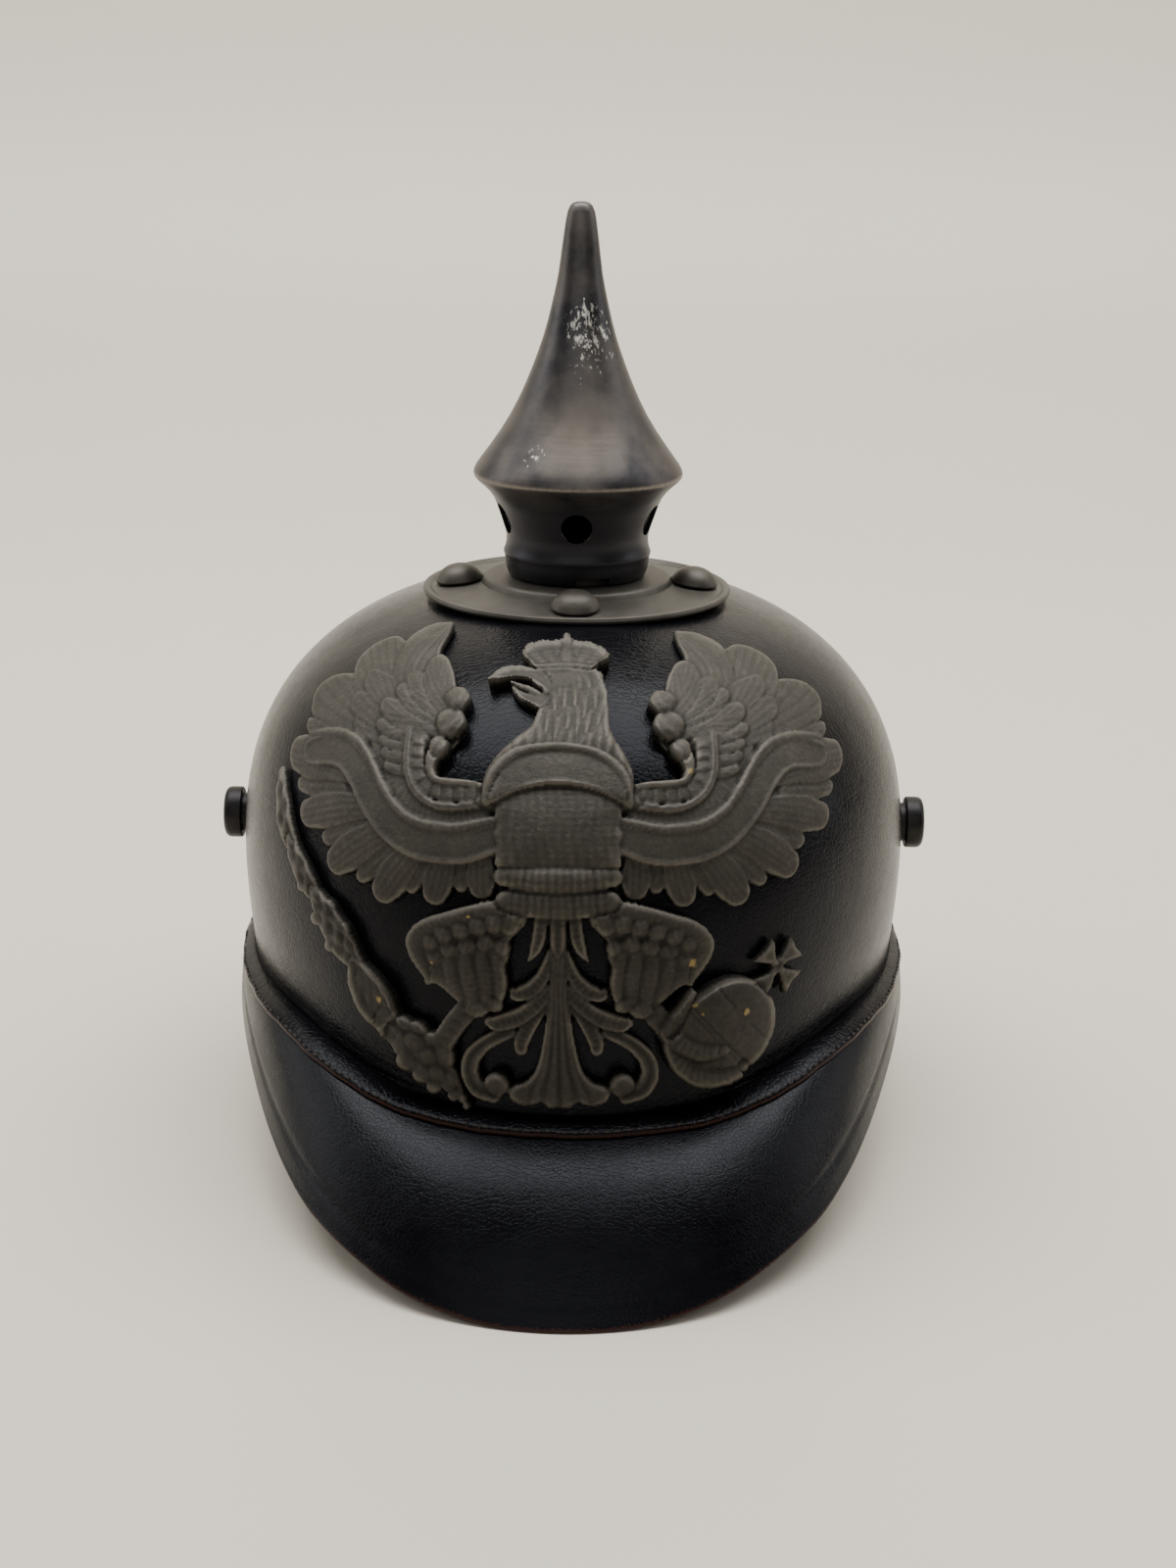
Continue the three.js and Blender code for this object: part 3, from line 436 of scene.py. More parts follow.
# Visors: the edge's turn in degrees, its reach out from the wall and its height over the table.
visorSettings = {
    "leather": 2.4, "endTurn": 88.0, "underLap": 0.5, "lapOver": 0.3, "shoulder": 0.58, "clearance": 0.1,
    "station": 8.0, "columns": 200, "bendRows": 34, "innerRows": 16,
    "lineAt": 7.0, "lineWide": 0.8, "lineDeep": 0.4, "lineFade": (8, 16),  # the pressed line along the edge
    "edgeRound": 0.7, "edgeSoft": 0.12, "edgeRub": (0.12, 0.45, 0.8, 1.0, 1.0, 0.6),
    "endClose": 0.8, "endRub": 0.7,
    "front": [(0, 39.4, 0), (6.5, 38.8, 0), (15, 35.6, 2.7), (30, 24.8, 9.8), (40, 16.8, 14.8),
              (50, 10, 19.8), (60, 5.4, 24.6), (70, 3, 28.8), (80, 2.1, 32.4), (88, 1.9, 34.8)],
    "rear": [(0, 39.4, 0), (18, 36, 0), (33, 27, 0), (45, 17, 8), (55, 10, 16.4), (65, 5.4, 23.8),
             (76, 2.8, 30.2), (88, 1.9, 34.8)],
}


# Smooth curve through evenly spaced values.
def smoothThrough(values, at):
    i = int(np.clip(math.floor(at), 0, len(values) - 2))
    k = at - i
    a, b = values[i], values[i + 1]
    before = values[i - 1] if i > 0 else 2 * a - b
    after = values[i + 2] if i + 2 < len(values) else 2 * b - a
    return 0.5 * (2 * a + (b - before) * k + (2 * before - 5 * a + 4 * b - after) * k ** 2
                  + (3 * a - before - 3 * b + after) * k ** 3)


def makeVisor(which, heading, name):
    s = visorSettings
    turns, reaches, heights = np.array(s[which], float).T
    stops = np.arange(-s["endTurn"], s["endTurn"] + 1, s["station"])
    reachStops = np.interp(np.abs(stops), turns, reaches)
    heightStops = np.interp(np.abs(stops), turns, heights)
    thick = s["leather"]
    bends, inners = s["bendRows"], s["innerRows"]

    def section(turn):
        at = (turn + s["endTurn"]) / s["station"]
        edge = np.array([smoothThrough(reachStops, at), max(0.0, smoothThrough(heightStops, at))])
        angle = math.radians(turn)

        def underLip(out):
            return np.array([out, lipTop(angle, out) - skullSettings["lipThick"] - s["clearance"]])
        bend = underLip(lipReach(angle) - s["lapOver"])
        start = underLip(s["underLap"] - wallTuck(angle))
        mid = np.array([bend[0] + (edge[0] - bend[0]) * s["shoulder"],
                        bend[1] + (edge[1] - bend[1]) * (1 - s["shoulder"]) / 2])
        k = np.linspace(0, 1, bends)[:, None]
        curve = (1 - k) ** 2 * bend + 2 * k * (1 - k) * mid + k ** 2 * edge
        lean = 2 * (1 - k) * (mid - bend) + 2 * k * (edge - mid)
        normal = np.stack([-lean[:, 1], lean[:, 0]], 1)
        normal /= np.linalg.norm(normal, axis=1)[:, None]
        steps = np.linalg.norm(np.diff(curve, axis=0), axis=1)
        run = np.concatenate([np.cumsum(steps[::-1])[::-1], [0]])
        deep = s["lineDeep"] * float(smoothStep(*s["lineFade"], run[0]))
        outer = curve - normal * (deep * np.exp(-((run - s["lineAt"]) / s["lineWide"]) ** 2))[:, None]
        outer[-1] = edge - normal[-1] * s["edgeSoft"] + np.array([0, s["edgeRound"]])
        foot = edge + np.array([(-0.35 * s["edgeRound"], s["edgeSoft"]), (-s["edgeRound"], 0.0),
                                (s["edgeRound"] - thick, 0.0)])
        back = np.linspace(bends - 2, 0, inners).astype(int)
        inner = curve[back] - normal[back] * thick
        across = np.array([skullSettings["lipFall"], 1])
        tail = start - across * thick / np.linalg.norm(across)
        points = np.concatenate([[start], outer, foot, inner, [tail], [start]])
        rub = np.zeros(len(points))
        rub[bends - 2:bends + 4] = s["edgeRub"]
        return points, rub

    loop = len(section(0)[0])
    cache = {}

    def place(x, y):
        column = round(x * s["columns"])
        if column not in cache:
            inside = min(max(column - 1, 0), s["columns"] - 2) / (s["columns"] - 2)
            turn = s["endTurn"] * (2 * inside - 1)
            points, rub = section(turn)
            if column in (0, s["columns"]):
                points = (points + points[::-1]) / 2
                turn += math.copysign(s["endClose"], turn)
                rub = rub + s["endRub"]
            cache[column] = math.radians(turn + heading), points, rub
        turn, points, rub = cache[column]
        row = round(y * (loop - 1))
        return besideWall(turn, *points[row]), rub[row]

    bm = wrappedGrid(s["columns"], loop - 1, place)
    return toObject(bm, name, [finishes["visorLeather"]])


finishPiece(makeVisor("front", 0, "leather_front_visor"),
            "helmet", "lacquered_leather", "front_visor", sharp=50)
finishPiece(makeVisor("rear", 180, "leather_rear_visor"),
            "helmet", "lacquered_leather", "rear_visor", sharp=50)


# Lockstitches along the lip's edge; a few have gone.
stitchSettings = {"pitch": 2.5, "long": 1.0, "wide": 0.34, "inset": 0.35, "rise": 0.08, "missing": 0.08,
                  "slant": 14, "sizes": (0.8, 1.1), "probe": 0.01, "sides": 8, "rings": 6}


def makeStitches():
    s = stitchSettings
    bm = bmesh.new()
    turn = 0.0
    while turn < 2 * math.pi:
        out = raggedReach(turn) - s["inset"]
        here = Vector(besideWall(turn, out, 0))
        ahead = Vector(besideWall(turn + s["probe"], raggedReach(turn + s["probe"]) - s["inset"], 0))
        step = (ahead - here).length
        atSide = abs(math.cos(turn)) < math.cos(math.radians(visorSettings["endTurn"]))
        if rng.random() > s["missing"] and not atSide:
            here.z = lipTop(turn, out) + s["rise"]
            along = (ahead - here).to_2d().normalized()
            heading = math.atan2(along.y, along.x) + math.radians(rng.uniform(-s["slant"], s["slant"]))
            size = rng.uniform(*s["sizes"])
            place = Matrix.Translation(here * mm) @ Matrix.Rotation(heading, 4, "Z")
            place = place @ Matrix.Diagonal((s["long"] * size * mm, s["wide"] * mm, s["wide"] * mm, 1))
            bmesh.ops.create_uvsphere(bm, u_segments=s["sides"], v_segments=s["rings"], radius=1.0,
                                      matrix=place)
        turn += s["probe"] * s["pitch"] / step
    return toObject(bm, "lip_stitches", [finishes["thread"]])


finishPiece(makeStitches(), "helmet", "lacquered_leather", sharp=80)


# Eagle: a relief laid out flat, u across and v up the front line in millimetres, wrapped on the skull.
eagleSettings = {
    "girth": 90.0, "turn": 1.0, "shift": -2.2, "pivot": 85.0, "back": 0.55, "cell": 0.42, "edge": 1.0,
    "low": (-88.0, 36.0), "high": (88.0, 170.0), "margins": (2.0, 8.0), "farOut": -9.0, "slopeLeast": 0.2,
    "stepMost": 1.2,  # in cells, for points that step onto the outline
    "viewpoint": (7.1, -659.5, 285.3), "level": 1.6, "leanBlur": 36,  # where the layout is seen from
    "headFrom": 126.0, "headTo": 143.0, "headHalf": 21.0, "headLow": 0.48, "headBlur": 10,  # head laid lower
    "leftRise": 1.2, "leftRiseOver": (140.0, 168.0), "leftFrom": -20.0,  # the left wing's tip is higher
    "stripStep": 0.3, "stripLeast": 0.3, "stripPull": 0.35,
    "featherShape": ((0, 0.62), (0.35, 0.84), (0.62, 0.97), (0.8, 0.98), (1.0, 0.8)),  # along, share of width
    "elbow": (36.0, 122.0), "birdEye": (-4.2, 149.6), "crownFoot": (1.8, 147.0),
    "tops": {"primaries": 1.9, "secondaries": 2.15, "small": 1.7, "broad": 2.1, "coverts": 2.5, "thigh": 3.5,
             "stem": 3.7, "neck": 3.6, "breast": 5.3, "collar": 5.5, "jaw": 4.4, "beak": 5.4, "crown": 5.3},
    "lowShade": 0.12, "lowShadeEdge": (78.0, 100.0), "shadeBlur": 8, "shadeDepth": 2.5,  # painted shade towards the bottom, and dark hollows
    "giltSpots": [(31.8, 72.6, 3.0), (32.6, 62.0, 1.8), (34.6, 59.2, 1.6), (46.4, 57.4, 2.6),
                  (-45.4, 60.2, 2.4), (-21, 84.8, 1.7), (31.6, 117.4, 2.4), (-30.5, 72.4, 1.2)],
}

# The right wing; the left one mirrors it. Outlines are u and v.
primaries = [
    [(48, 126), (58, 137), (62, 136.6), (65.4, 135.7), (68.6, 134.5), (72.6, 132.3), (75.9, 129.1),
     (77.3, 126.3), (76.4, 123.6), (74, 121.2), (60, 119)],
    [(42, 130), (44.5, 150.5), (46.6, 152.6), (49.4, 152.9), (52.2, 151.8), (55.8, 149.3), (59.4, 145.9),
     (61.8, 142.2), (62.4, 139.2), (60, 133), (52, 128)],
]
# Feathers: root u and v, tip u and v, width, sideways bow.
secondaries = [
    (38, 124, 57, 124.4, 6.4, 0), (36, 127, 59.5, 130.2, 9.0, 0.4), (35, 131, 56.5, 138.4, 10.0, 0.4),
]
smallFeathers = [
    (58, 108.5, 75.2, 104.8, 5.2, 0), (48, 101.5, 63.4, 95.0, 5.0, 0), (40, 98.5, 51.2, 88.3, 4.8, 0),
    (32, 97.5, 36.6, 88.0, 4.6, 0), (23.8, 97.5, 22.7, 89.8, 4.6, 0), (60, 120.5, 76.4, 118.9, 4.8, 0),
]
broadFeathers = [
    (56, 113, 80.8, 111.0, 10.8, 0.8), (48, 106, 72.2, 98.6, 8.6, 0.5), (42, 102, 60.6, 89.4, 8.9, 0.4),
    (34, 100, 45.2, 85.0, 8.8, 0), (27, 99, 30.2, 86.2, 8.0, 0), (18.5, 100, 17.9, 88.6, 7.4, 0),
]
coverts = [
    (28.6, 135, 33.4, 151.2, 10.6, -0.8), (29.6, 133.5, 41.2, 143.4, 9.0, -0.4),
    (30.6, 131.5, 44.2, 138.4, 8.0, 0), (31.6, 128.6, 48.6, 131.8, 8.0, 0),
    (34.5, 125.8, 48.8, 126.2, 5.6, 0), (36.5, 122.6, 47.4, 122.4, 4.2, 0),
    (36.5, 119.2, 46.4, 119.4, 4.0, 0), (36.5, 115.8, 45.2, 116.4, 3.8, 0),
]

# Strips: kind and stations of u, v, half width and height.
topPrimary = ("blade", [(38.6, 132, 5.2, 1.9), (40.8, 141, 6.2, 2.0), (40.2, 148.5, 6.4, 2.1),
                        (37.4, 154.6, 5.4, 2.1), (34.2, 159.8, 3.7, 2.0), (31.7, 163.0, 1.6, 1.9),
                        (30.7, 164.4, 0.5, 1.8)])
webStrips = [
    ("web", [(15, 106, 8, 1.4), (28, 105, 9, 1.4), (40, 110, 10, 1.4), (47, 126, 11, 1.4)]),
    ("web", [(30, 128, 6, 1.5), (36, 137, 7.5, 1.5), (42, 144, 7, 1.4)]),
    ("web", [(44, 101, 5, 1.4), (55, 108.5, 5, 1.4), (63, 112, 4, 1.4)]),
    ("hatch", [(17.6, 107.4, 2.2, 2.7), (25, 106.8, 2.4, 2.7), (33, 107.6, 2.6, 2.6),
               (39.6, 111.8, 2.9, 2.5), (43.4, 117, 3.0, 2.4), (47, 121, 3.0, 2.2)]),
]
wingStrips = [
    ("scallop", [(35.6, 126.2, 1.9, 3.2), (35.5, 119, 2.0, 3.2), (34.4, 115.0, 2.0, 3.2),
                 (31.0, 112.6, 1.9, 3.3), (26, 112.2, 1.9, 3.4), (18.8, 113.0, 1.9, 3.7)]),
    ("double", [(14.6, 111.3, 0.9, 3.9), (25, 109.2, 1.0, 3.8), (30, 109.2, 1.0, 3.7),
                (34.9, 111.3, 1.0, 3.6), (37.7, 115.4, 1.0, 3.6), (38.5, 120, 1.0, 3.5),
                (38.6, 126.6, 0.9, 3.3)]),
    ("ribbon", [(13.0, 103.9, 3.4, 3.8), (20, 101.3, 4.0, 3.7), (25, 100.2, 4.2, 3.5),
                (34.5, 100.2, 4.2, 3.3), (41.8, 102.9, 4.2, 3.2), (47.5, 107.7, 4.3, 3.2),
                (52.5, 113.3, 4.4, 3.2), (57.3, 116.4, 4.4, 3.1), (62.3, 116.7, 4.2, 3.0),
                (67.8, 115.2, 3.9, 2.8), (72.0, 113.6, 3.2, 2.4)]),
    ("border", [(13.2, 107.8, 1.0, 3.9), (20, 105.6, 1.15, 3.8), (25, 104.5, 1.2, 3.7),
                (34, 104.5, 1.2, 3.6), (40.2, 107.0, 1.2, 3.5), (44.8, 111.4, 1.2, 3.5),
                (48.2, 115.8, 1.2, 3.5), (52.4, 119.8, 1.2, 3.4), (57, 121.3, 1.2, 3.3),
                (63, 120.9, 1.1, 3.1), (69, 119.2, 0.9, 2.8), (73.5, 117.6, 0.6, 2.3)]),
    ("tube", [(29.6, 123.6, 2.4, 4.0), (31.2, 120, 1.9, 4.0), (31.4, 117.0, 1.4, 4.0),
              (28.8, 114.9, 0.9, 3.9), (19, 115.0, 0.8, 3.9)]),
]
# Bosses: kind, u, v, half width, half height, top.
wingBosses = [
    ("knob", 29.6, 123.4, 2.9, 3.4, 4.3), ("knob", 27.0, 130.6, 4.3, 4.4, 4.9),
    ("knob", 25.8, 138.0, 4.0, 3.5, 4.4),
]

legStrips = [("limb", [(20, 64, 3.0, 3.3), (24.6, 58.4, 2.8, 3.5), (28.6, 52, 2.9, 3.8)])]
thighOutline = [
    (11.5, 90.2), (14.8, 88.6), (20, 87), (25.5, 85.3), (30, 83.7), (34, 81.5), (36.6, 78.5), (37.1, 76),
    (35.8, 73), (33.2, 69.8), (31.6, 67.0), (29.6, 67.4), (26.5, 65.6), (24, 63.3), (21.7, 62), (19, 60.6),
    (15.8, 62), (13.3, 64.8), (11.7, 69), (12.2, 73.4), (11.2, 76.5), (11.6, 79.2), (9.5, 81.6), (7.3, 84),
    (7.2, 86), (9, 88.8),
]
thighStrips = [
    ("tongue", [(14.8, 76.2, 1.6, 4.0), (13.8, 71, 1.9, 4.2), (13.9, 66.2, 1.5, 3.9)]),
    ("tongue", [(26.6, 73.6, 1.7, 3.9), (25.2, 68.6, 1.9, 4.1), (23.4, 64.8, 1.3, 3.8)]),
    ("tongue", [(18.4, 76, 1.7, 4.0), (17.5, 70.5, 2.1, 4.4), (17.4, 65, 1.6, 4.1)]),
    ("tongue", [(22.4, 75, 1.7, 4.0), (21.5, 69.6, 2.1, 4.5), (20.4, 64, 1.6, 4.2)]),
    ("tongue", [(13, 87.4, 2.0, 4.4), (20, 85.4, 2.1, 4.6), (26, 83.2, 2.1, 4.6), (31.4, 80.8, 2.2, 4.4),
                (34.4, 77.6, 2.2, 4.1), (34.4, 74.4, 1.9, 3.8), (32.6, 71.0, 1.5, 3.5),
                (31.4, 68.6, 0.9, 3.2)]),
]
# Tufts and knee of the thigh: u, v, half width, half height, top.
thighTufts = [
    (29.8, 73.8, 2.2, 2.0, 4.1), (26.2, 76.2, 2.5, 2.0, 4.5), (21.6, 77.6, 2.4, 2.1, 4.7),
    (17.2, 78.8, 2.3, 2.2, 4.8), (13.2, 78.2, 2.2, 2.3, 4.5), (31.0, 77.4, 2.1, 2.2, 4.7),
    (27.6, 79.6, 2.4, 2.2, 5.0), (23.4, 81.0, 2.4, 2.2, 5.2), (19.2, 82.4, 2.4, 2.3, 5.2),
    (15.2, 83.4, 2.4, 2.5, 5.1), (11.4, 83.4, 2.5, 2.4, 4.7), (9.8, 86.0, 2.5, 2.4, 4.7),
    (15.2, 63.8, 2.3, 2.0, 4.2), (19.4, 62.4, 2.9, 2.1, 4.5),
]
scrollBall = ("ball", 14.8, 43.9, 3.1, 3.1, 4.8)
tailStrips = [
    ("scroll", [(11.6, 57.2, 1.6, 2.7), (16.6, 54.6, 1.9, 2.9), (20.4, 50.6, 2.2, 3.1),
                (21.4, 46.2, 2.3, 3.1), (19.6, 42.4, 2.2, 3.1), (15.6, 41.0, 1.9, 3.2)]),
    ("leaf", [(3.2, 64, 1.3, 2.6), (6.6, 59.5, 1.9, 2.8), (8.6, 55.4, 2.0, 2.8), (8.8, 53.4, 1.7, 2.5)]),
    ("leaf", [(1.6, 68.5, 1.4, 3.0), (5.4, 64.2, 2.0, 3.4), (10, 60.9, 2.3, 3.6), (14.2, 59.4, 2.2, 3.5),
              (16.2, 59.6, 1.4, 3.1)]),
    ("leaf", [(1.7, 77, 1.2, 2.9), (3.6, 71.6, 1.8, 3.3), (6.4, 68.2, 2.2, 3.5), (9.6, 66.9, 1.9, 3.2),
              (10.6, 67.4, 1.1, 2.9)]),
    ("leaf", [(3.9, 85.4, 1.7, 3.1), (4.4, 81, 1.8, 3.1), (5.4, 77.8, 1.4, 2.9), (6.8, 75.5, 0.5, 2.5)]),
]
stemOutline = [
    (0, 88), (1.9, 86), (1.9, 77), (2.2, 68), (2.9, 62), (3.6, 57), (4.6, 51.5), (6.0, 47.4), (8.2, 44.9),
    (10.4, 44.0), (12.0, 42.6), (11.4, 40.6), (9.2, 39.4), (6.4, 39.3), (4.4, 39.9), (2.8, 38.9),
    (1.2, 38.7), (0, 38.9),
]
stemHalf = ([36, 42, 45, 48, 52, 57, 62, 68, 77, 90], [9.5, 9.2, 7.4, 5.6, 4.4, 3.6, 2.9, 2.2, 1.9, 1.9])
leafTop = ("leaf", [(0, 85, 1.9, 3.7), (0, 80, 1.8, 3.9), (0, 76.6, 1.0, 3.6)])
rolls = [
    ("roll", [(-12.0, 88.8, 2.7, 4.4), (-6, 88.3, 3.1, 5.2), (0, 88.1, 3.2, 5.5), (6, 88.3, 3.1, 5.2),
              (12.0, 88.8, 2.7, 4.4)]),
    ("roll", [(-12.6, 94.4, 2.4, 4.6), (-6, 93.9, 2.8, 5.6), (0, 93.8, 2.9, 6.0), (6, 93.9, 2.8, 5.6),
              (12.6, 94.4, 2.4, 4.6)]),
]
breastOutline = [
    (0, 117), (9, 115.6), (14.2, 112), (15.0, 108.6), (14.3, 106.2), (15.1, 103.8), (14.3, 101.4),
    (14.6, 99), (13.4, 96), (0, 94.6),
]
neckOutline = [
    (9.6, 150), (10.8, 146), (11.7, 142), (12.0, 137), (12.2, 131.5), (13.4, 127.5), (15.6, 123.5),
    (17.6, 119), (18.4, 114), (17.6, 109.5), (-17.6, 109.5), (-18.6, 114), (-17.2, 119), (-14.2, 123.5),
    (-10.6, 127.2), (-7.0, 130.6), (-5.6, 134), (-4.6, 137.5), (-3.2, 141), (-3.4, 146), (-5, 150),
    (0, 152),
]
collarOutline = [
    (0, 125.8), (4, 125.4), (8, 124.2), (11.6, 121.8), (14.2, 118.4), (15.8, 114.8), (16.6, 111.2),
    (13.8, 112.6), (10.5, 114.4), (5, 116.1), (0, 116.6),
]
collarStrips = [
    ("border", [(-17.2, 110.6, 0.7, 5.0), (-16.9, 115, 1.0, 5.5), (-14.2, 120.2, 1.1, 5.9),
                (-8.6, 124.7, 1.1, 6.2), (0, 126.3, 1.15, 6.3), (8.6, 124.7, 1.1, 6.2),
                (14.0, 120.2, 1.1, 5.9), (16.6, 115, 1.0, 5.5), (17.0, 110.6, 0.7, 5.0)]),
    ("border", [(-16.4, 111.0, 0.5, 5.2), (-10.5, 114.5, 0.6, 5.7), (-5, 116.2, 0.65, 5.9),
                (0, 116.7, 0.7, 6.0), (5, 116.2, 0.65, 5.9), (10.5, 114.5, 0.6, 5.7),
                (16.2, 111.0, 0.5, 5.2)]),
]
beakOutline = [
    (-4.8, 151.2), (-8.8, 150.9), (-12.2, 150.2), (-14.9, 148.5), (-16.5, 146.0), (-17.3, 143.4),
    (-16.8, 142.6), (-15.6, 144.2), (-13.4, 145.7), (-10.6, 146.6), (-7.8, 146.5), (-5.6, 145.2),
    (-4.2, 143.2), (-3.2, 141.6), (-1.6, 143.6), (-2.0, 148),
]
jawOutline = [
    (-11.2, 142.9), (-10.8, 141.0), (-9.2, 139.0), (-6.8, 137.6), (-4.8, 137.0), (-3.0, 138.4),
    (-2.4, 140.8), (-5.2, 141.6), (-8.4, 142.4),
]
headBoss = ("head", 1.4, 147.8, 8.6, 5.6, 5.7)
tongueMarks = ("border", [(-11.3, 144.2, 0.5, 3.8), (-7.4, 143.2, 0.9, 4.2), (-3.4, 141.4, 0.9, 4.5)])
crownOutline = [
    (-8.2, 153.4), (-9.2, 155.4), (-9.0, 157.8), (-7.5, 160.4), (-4.5, 162.1), (-1.2, 162.9), (0.4, 163.6),
    (1.2, 164.8), (2.0, 165.1), (2.9, 164.5), (3.8, 163.2), (7.5, 161.9), (10.4, 159.5), (12.1, 156.8),
    (12.4, 154.6), (11.2, 152.8), (8.4, 153.2), (5.2, 154.0), (1.4, 154.2), (-3, 153.8), (-5.8, 153.0),
]
crownStrips = [
    ("tube", [(1.8, 154.6, 1.9, 5.8), (1.9, 159, 2.1, 6.0), (1.9, 163.4, 1.2, 5.4)]),
    ("border", [(-6.6, 152.4, 0.8, 5.4), (-3, 153.2, 1.0, 6.0), (1.4, 153.5, 1.0, 6.2),
                (5.4, 153.2, 1.0, 6.0), (9.0, 151.8, 0.8, 5.4)]),
    ("border", [(-5.6, 151.0, 0.6, 5.2), (-2.6, 151.6, 0.7, 5.7), (1.4, 151.8, 0.7, 5.9),
                (5.0, 151.4, 0.7, 5.7), (8.8, 150.0, 0.6, 5.2)]),
]

sceptreStrips = [
    ("bud", [(-84.0, 105, 1.6, 2.0), (-82.0, 99.5, 3.2, 2.3), (-79.2, 94.6, 3.4, 2.5),
             (-75.4, 90.4, 2.6, 2.5)]),
    ("bud", [(-77.0, 91.8, 1.8, 2.5), (-72.8, 87.4, 3.2, 2.8), (-68.4, 83.4, 3.2, 2.8),
             (-65.4, 80.6, 1.8, 2.7)]),
    ("bud", [(-66.6, 82.0, 2.0, 2.8), (-62.0, 77.8, 3.8, 3.2), (-57.0, 72.6, 4.4, 3.4),
             (-52.4, 68.0, 2.8, 3.2)]),
    ("calyx", [(-52.4, 67.4, 2.4, 3.4), (-49.4, 63.4, 4.6, 4.0), (-46.4, 59.6, 5.4, 4.1),
               (-43.8, 56.4, 4.2, 3.9)]),
    ("ringed", [(-43.4, 55.6, 3.5, 3.8), (-41.0, 53.4, 3.7, 4.0)]),
    ("bud", [(-40.4, 52.4, 3.4, 3.0), (-34, 48.6, 5.4, 3.3), (-28.4, 44.6, 3.8, 3.1),
             (-24.6, 40.6, 1.6, 2.6), (-22.6, 38.2, 0.8, 2.3)]),
]
# Lumps of the sceptre's leaves, its head and the foot that holds it: u, v, half width, half height, top.
sceptreLumps = [
    (-60.4, 79.8, 2.4, 1.9, 3.4), (-64.6, 75.8, 2.2, 2.0, 3.2), (-55.6, 75.4, 2.2, 1.9, 3.5),
    (-59.8, 70.4, 2.1, 1.9, 3.4), (-70.6, 82.4, 2.0, 1.8, 2.9), (-38.2, 55.6, 2.6, 1.9, 3.7),
    (-34.4, 55.2, 2.6, 1.9, 3.8), (-39.4, 50.2, 2.2, 3.0, 3.8), (-30.8, 53.0, 2.5, 1.9, 4.0),
    (-35.6, 51.2, 3.2, 2.6, 4.4), (-37.6, 46.4, 2.8, 2.5, 4.0), (-32.0, 48.4, 2.9, 2.6, 4.4),
    (-33.6, 43.6, 2.5, 2.0, 3.8), (-27.9, 49.2, 2.9, 3.2, 4.2), (-29.6, 44.4, 2.7, 2.3, 4.1),
    (-30.4, 41.2, 2.0, 1.7, 3.5), (-26.9, 42.6, 2.0, 2.2, 3.8), (-25.4, 39.9, 1.6, 1.5, 3.4),
    (-23.2, 39.2, 1.1, 1.1, 3.0), (-22.2, 37.6, 1.0, 1.0, 2.8),
]
orbBoss = ("orb", 41.6, 54.8, 12.3, 12.3, 7.0)
orbStrips = [
    ("toe", [(27.4, 52.6, 2.8, 4.8), (29.2, 47.4, 2.6, 5.2), (33.6, 43.6, 2.4, 5.4), (39.4, 42.3, 2.1, 5.2),
             (43.4, 42.6, 1.6, 4.8)]),
    ("toe", [(26.6, 56.2, 2.7, 4.9), (29.6, 52.2, 2.3, 6.4), (34.2, 49.4, 2.1, 7.4),
             (38.4, 48.9, 1.7, 7.6)]),
    ("toe", [(26.8, 57.0, 2.6, 4.7), (29.6, 61.0, 2.1, 5.0), (31.4, 65.0, 1.3, 4.4)]),
    ("ball", [(40.2, 48.9, 1.4, 7.4), (40.6, 48.9, 1.3, 7.4)]),
    ("ball", [(45.2, 43.9, 1.3, 4.6), (45.6, 44.3, 1.2, 4.6)]),
]
crossSettings = {"at": (55.0, 67.0), "reach": 6.8, "inner": 1.15, "outer": 3.5, "top": 2.7,
                 "neckShare": 0.35, "hollowShare": 0.94, "turns": (35, 130, 224, 311)}


# A point on the skull's front: u is across, v is up along the surface, h is out from it.
def onSkull(u, v, h):
    s, e = skullSettings, eagleSettings
    angle = np.linspace(0, s["ventLift"], 400) * math.pi / 2
    shares = np.cos(angle) ** (2 / s["roundness"])
    heights = s["wallTop"] + s["rise"] * np.sin(angle) ** (2 / s["roundness"])
    steps = np.hypot(np.diff(shares) * s["halfLength"], np.diff(heights))
    runs = s["wallTop"] + np.concatenate([[0], np.cumsum(steps)])
    share = np.where(v <= s["wallTop"], 1.0, np.interp(v, runs, shares))
    z = np.where(v <= s["wallTop"], v, np.interp(v, runs, heights))
    turn = u / (e["girth"] * share)
    x = s["halfWidth"] * share * np.sin(turn)
    y = -s["halfLength"] * share * np.cos(turn)
    above = np.maximum(0, (z - s["wallTop"]) / s["rise"])
    flat = share ** (s["roundness"] - 2)
    normal = np.stack([x / s["halfWidth"] ** 2 * flat, y / s["halfLength"] ** 2 * flat,
                       above ** (s["roundness"] - 1) / s["rise"]], -1)
    normal /= np.linalg.norm(normal, axis=-1)[..., None]
    return np.stack([x, y, z], -1) + normal * np.asarray(h)[..., None]


# The same with the plate's own turn and shift.
def onFront(u, v, h):
    e = eagleSettings
    lean = math.radians(e["turn"])
    high = v - e["pivot"]
    return onSkull(e["shift"] + u * math.cos(lean) - high * math.sin(lean),
                   e["pivot"] + u * math.sin(lean) + high * math.cos(lean), h)


# Rounded shoulder: 0 at the outline, 1 once d reaches the radius.
def shoulder(d, radius):
    return np.sqrt(1 - (1 - np.clip(d / radius, 0, 1)) ** 2)


def ridge(x, at, wide):
    return np.exp(-((x - at) / wide) ** 2)


def wave(x, pitch):
    return np.sin(2 * math.pi * x / pitch)


def bulge(x):
    return np.sqrt(np.clip(1 - x ** 2, 0, 1))


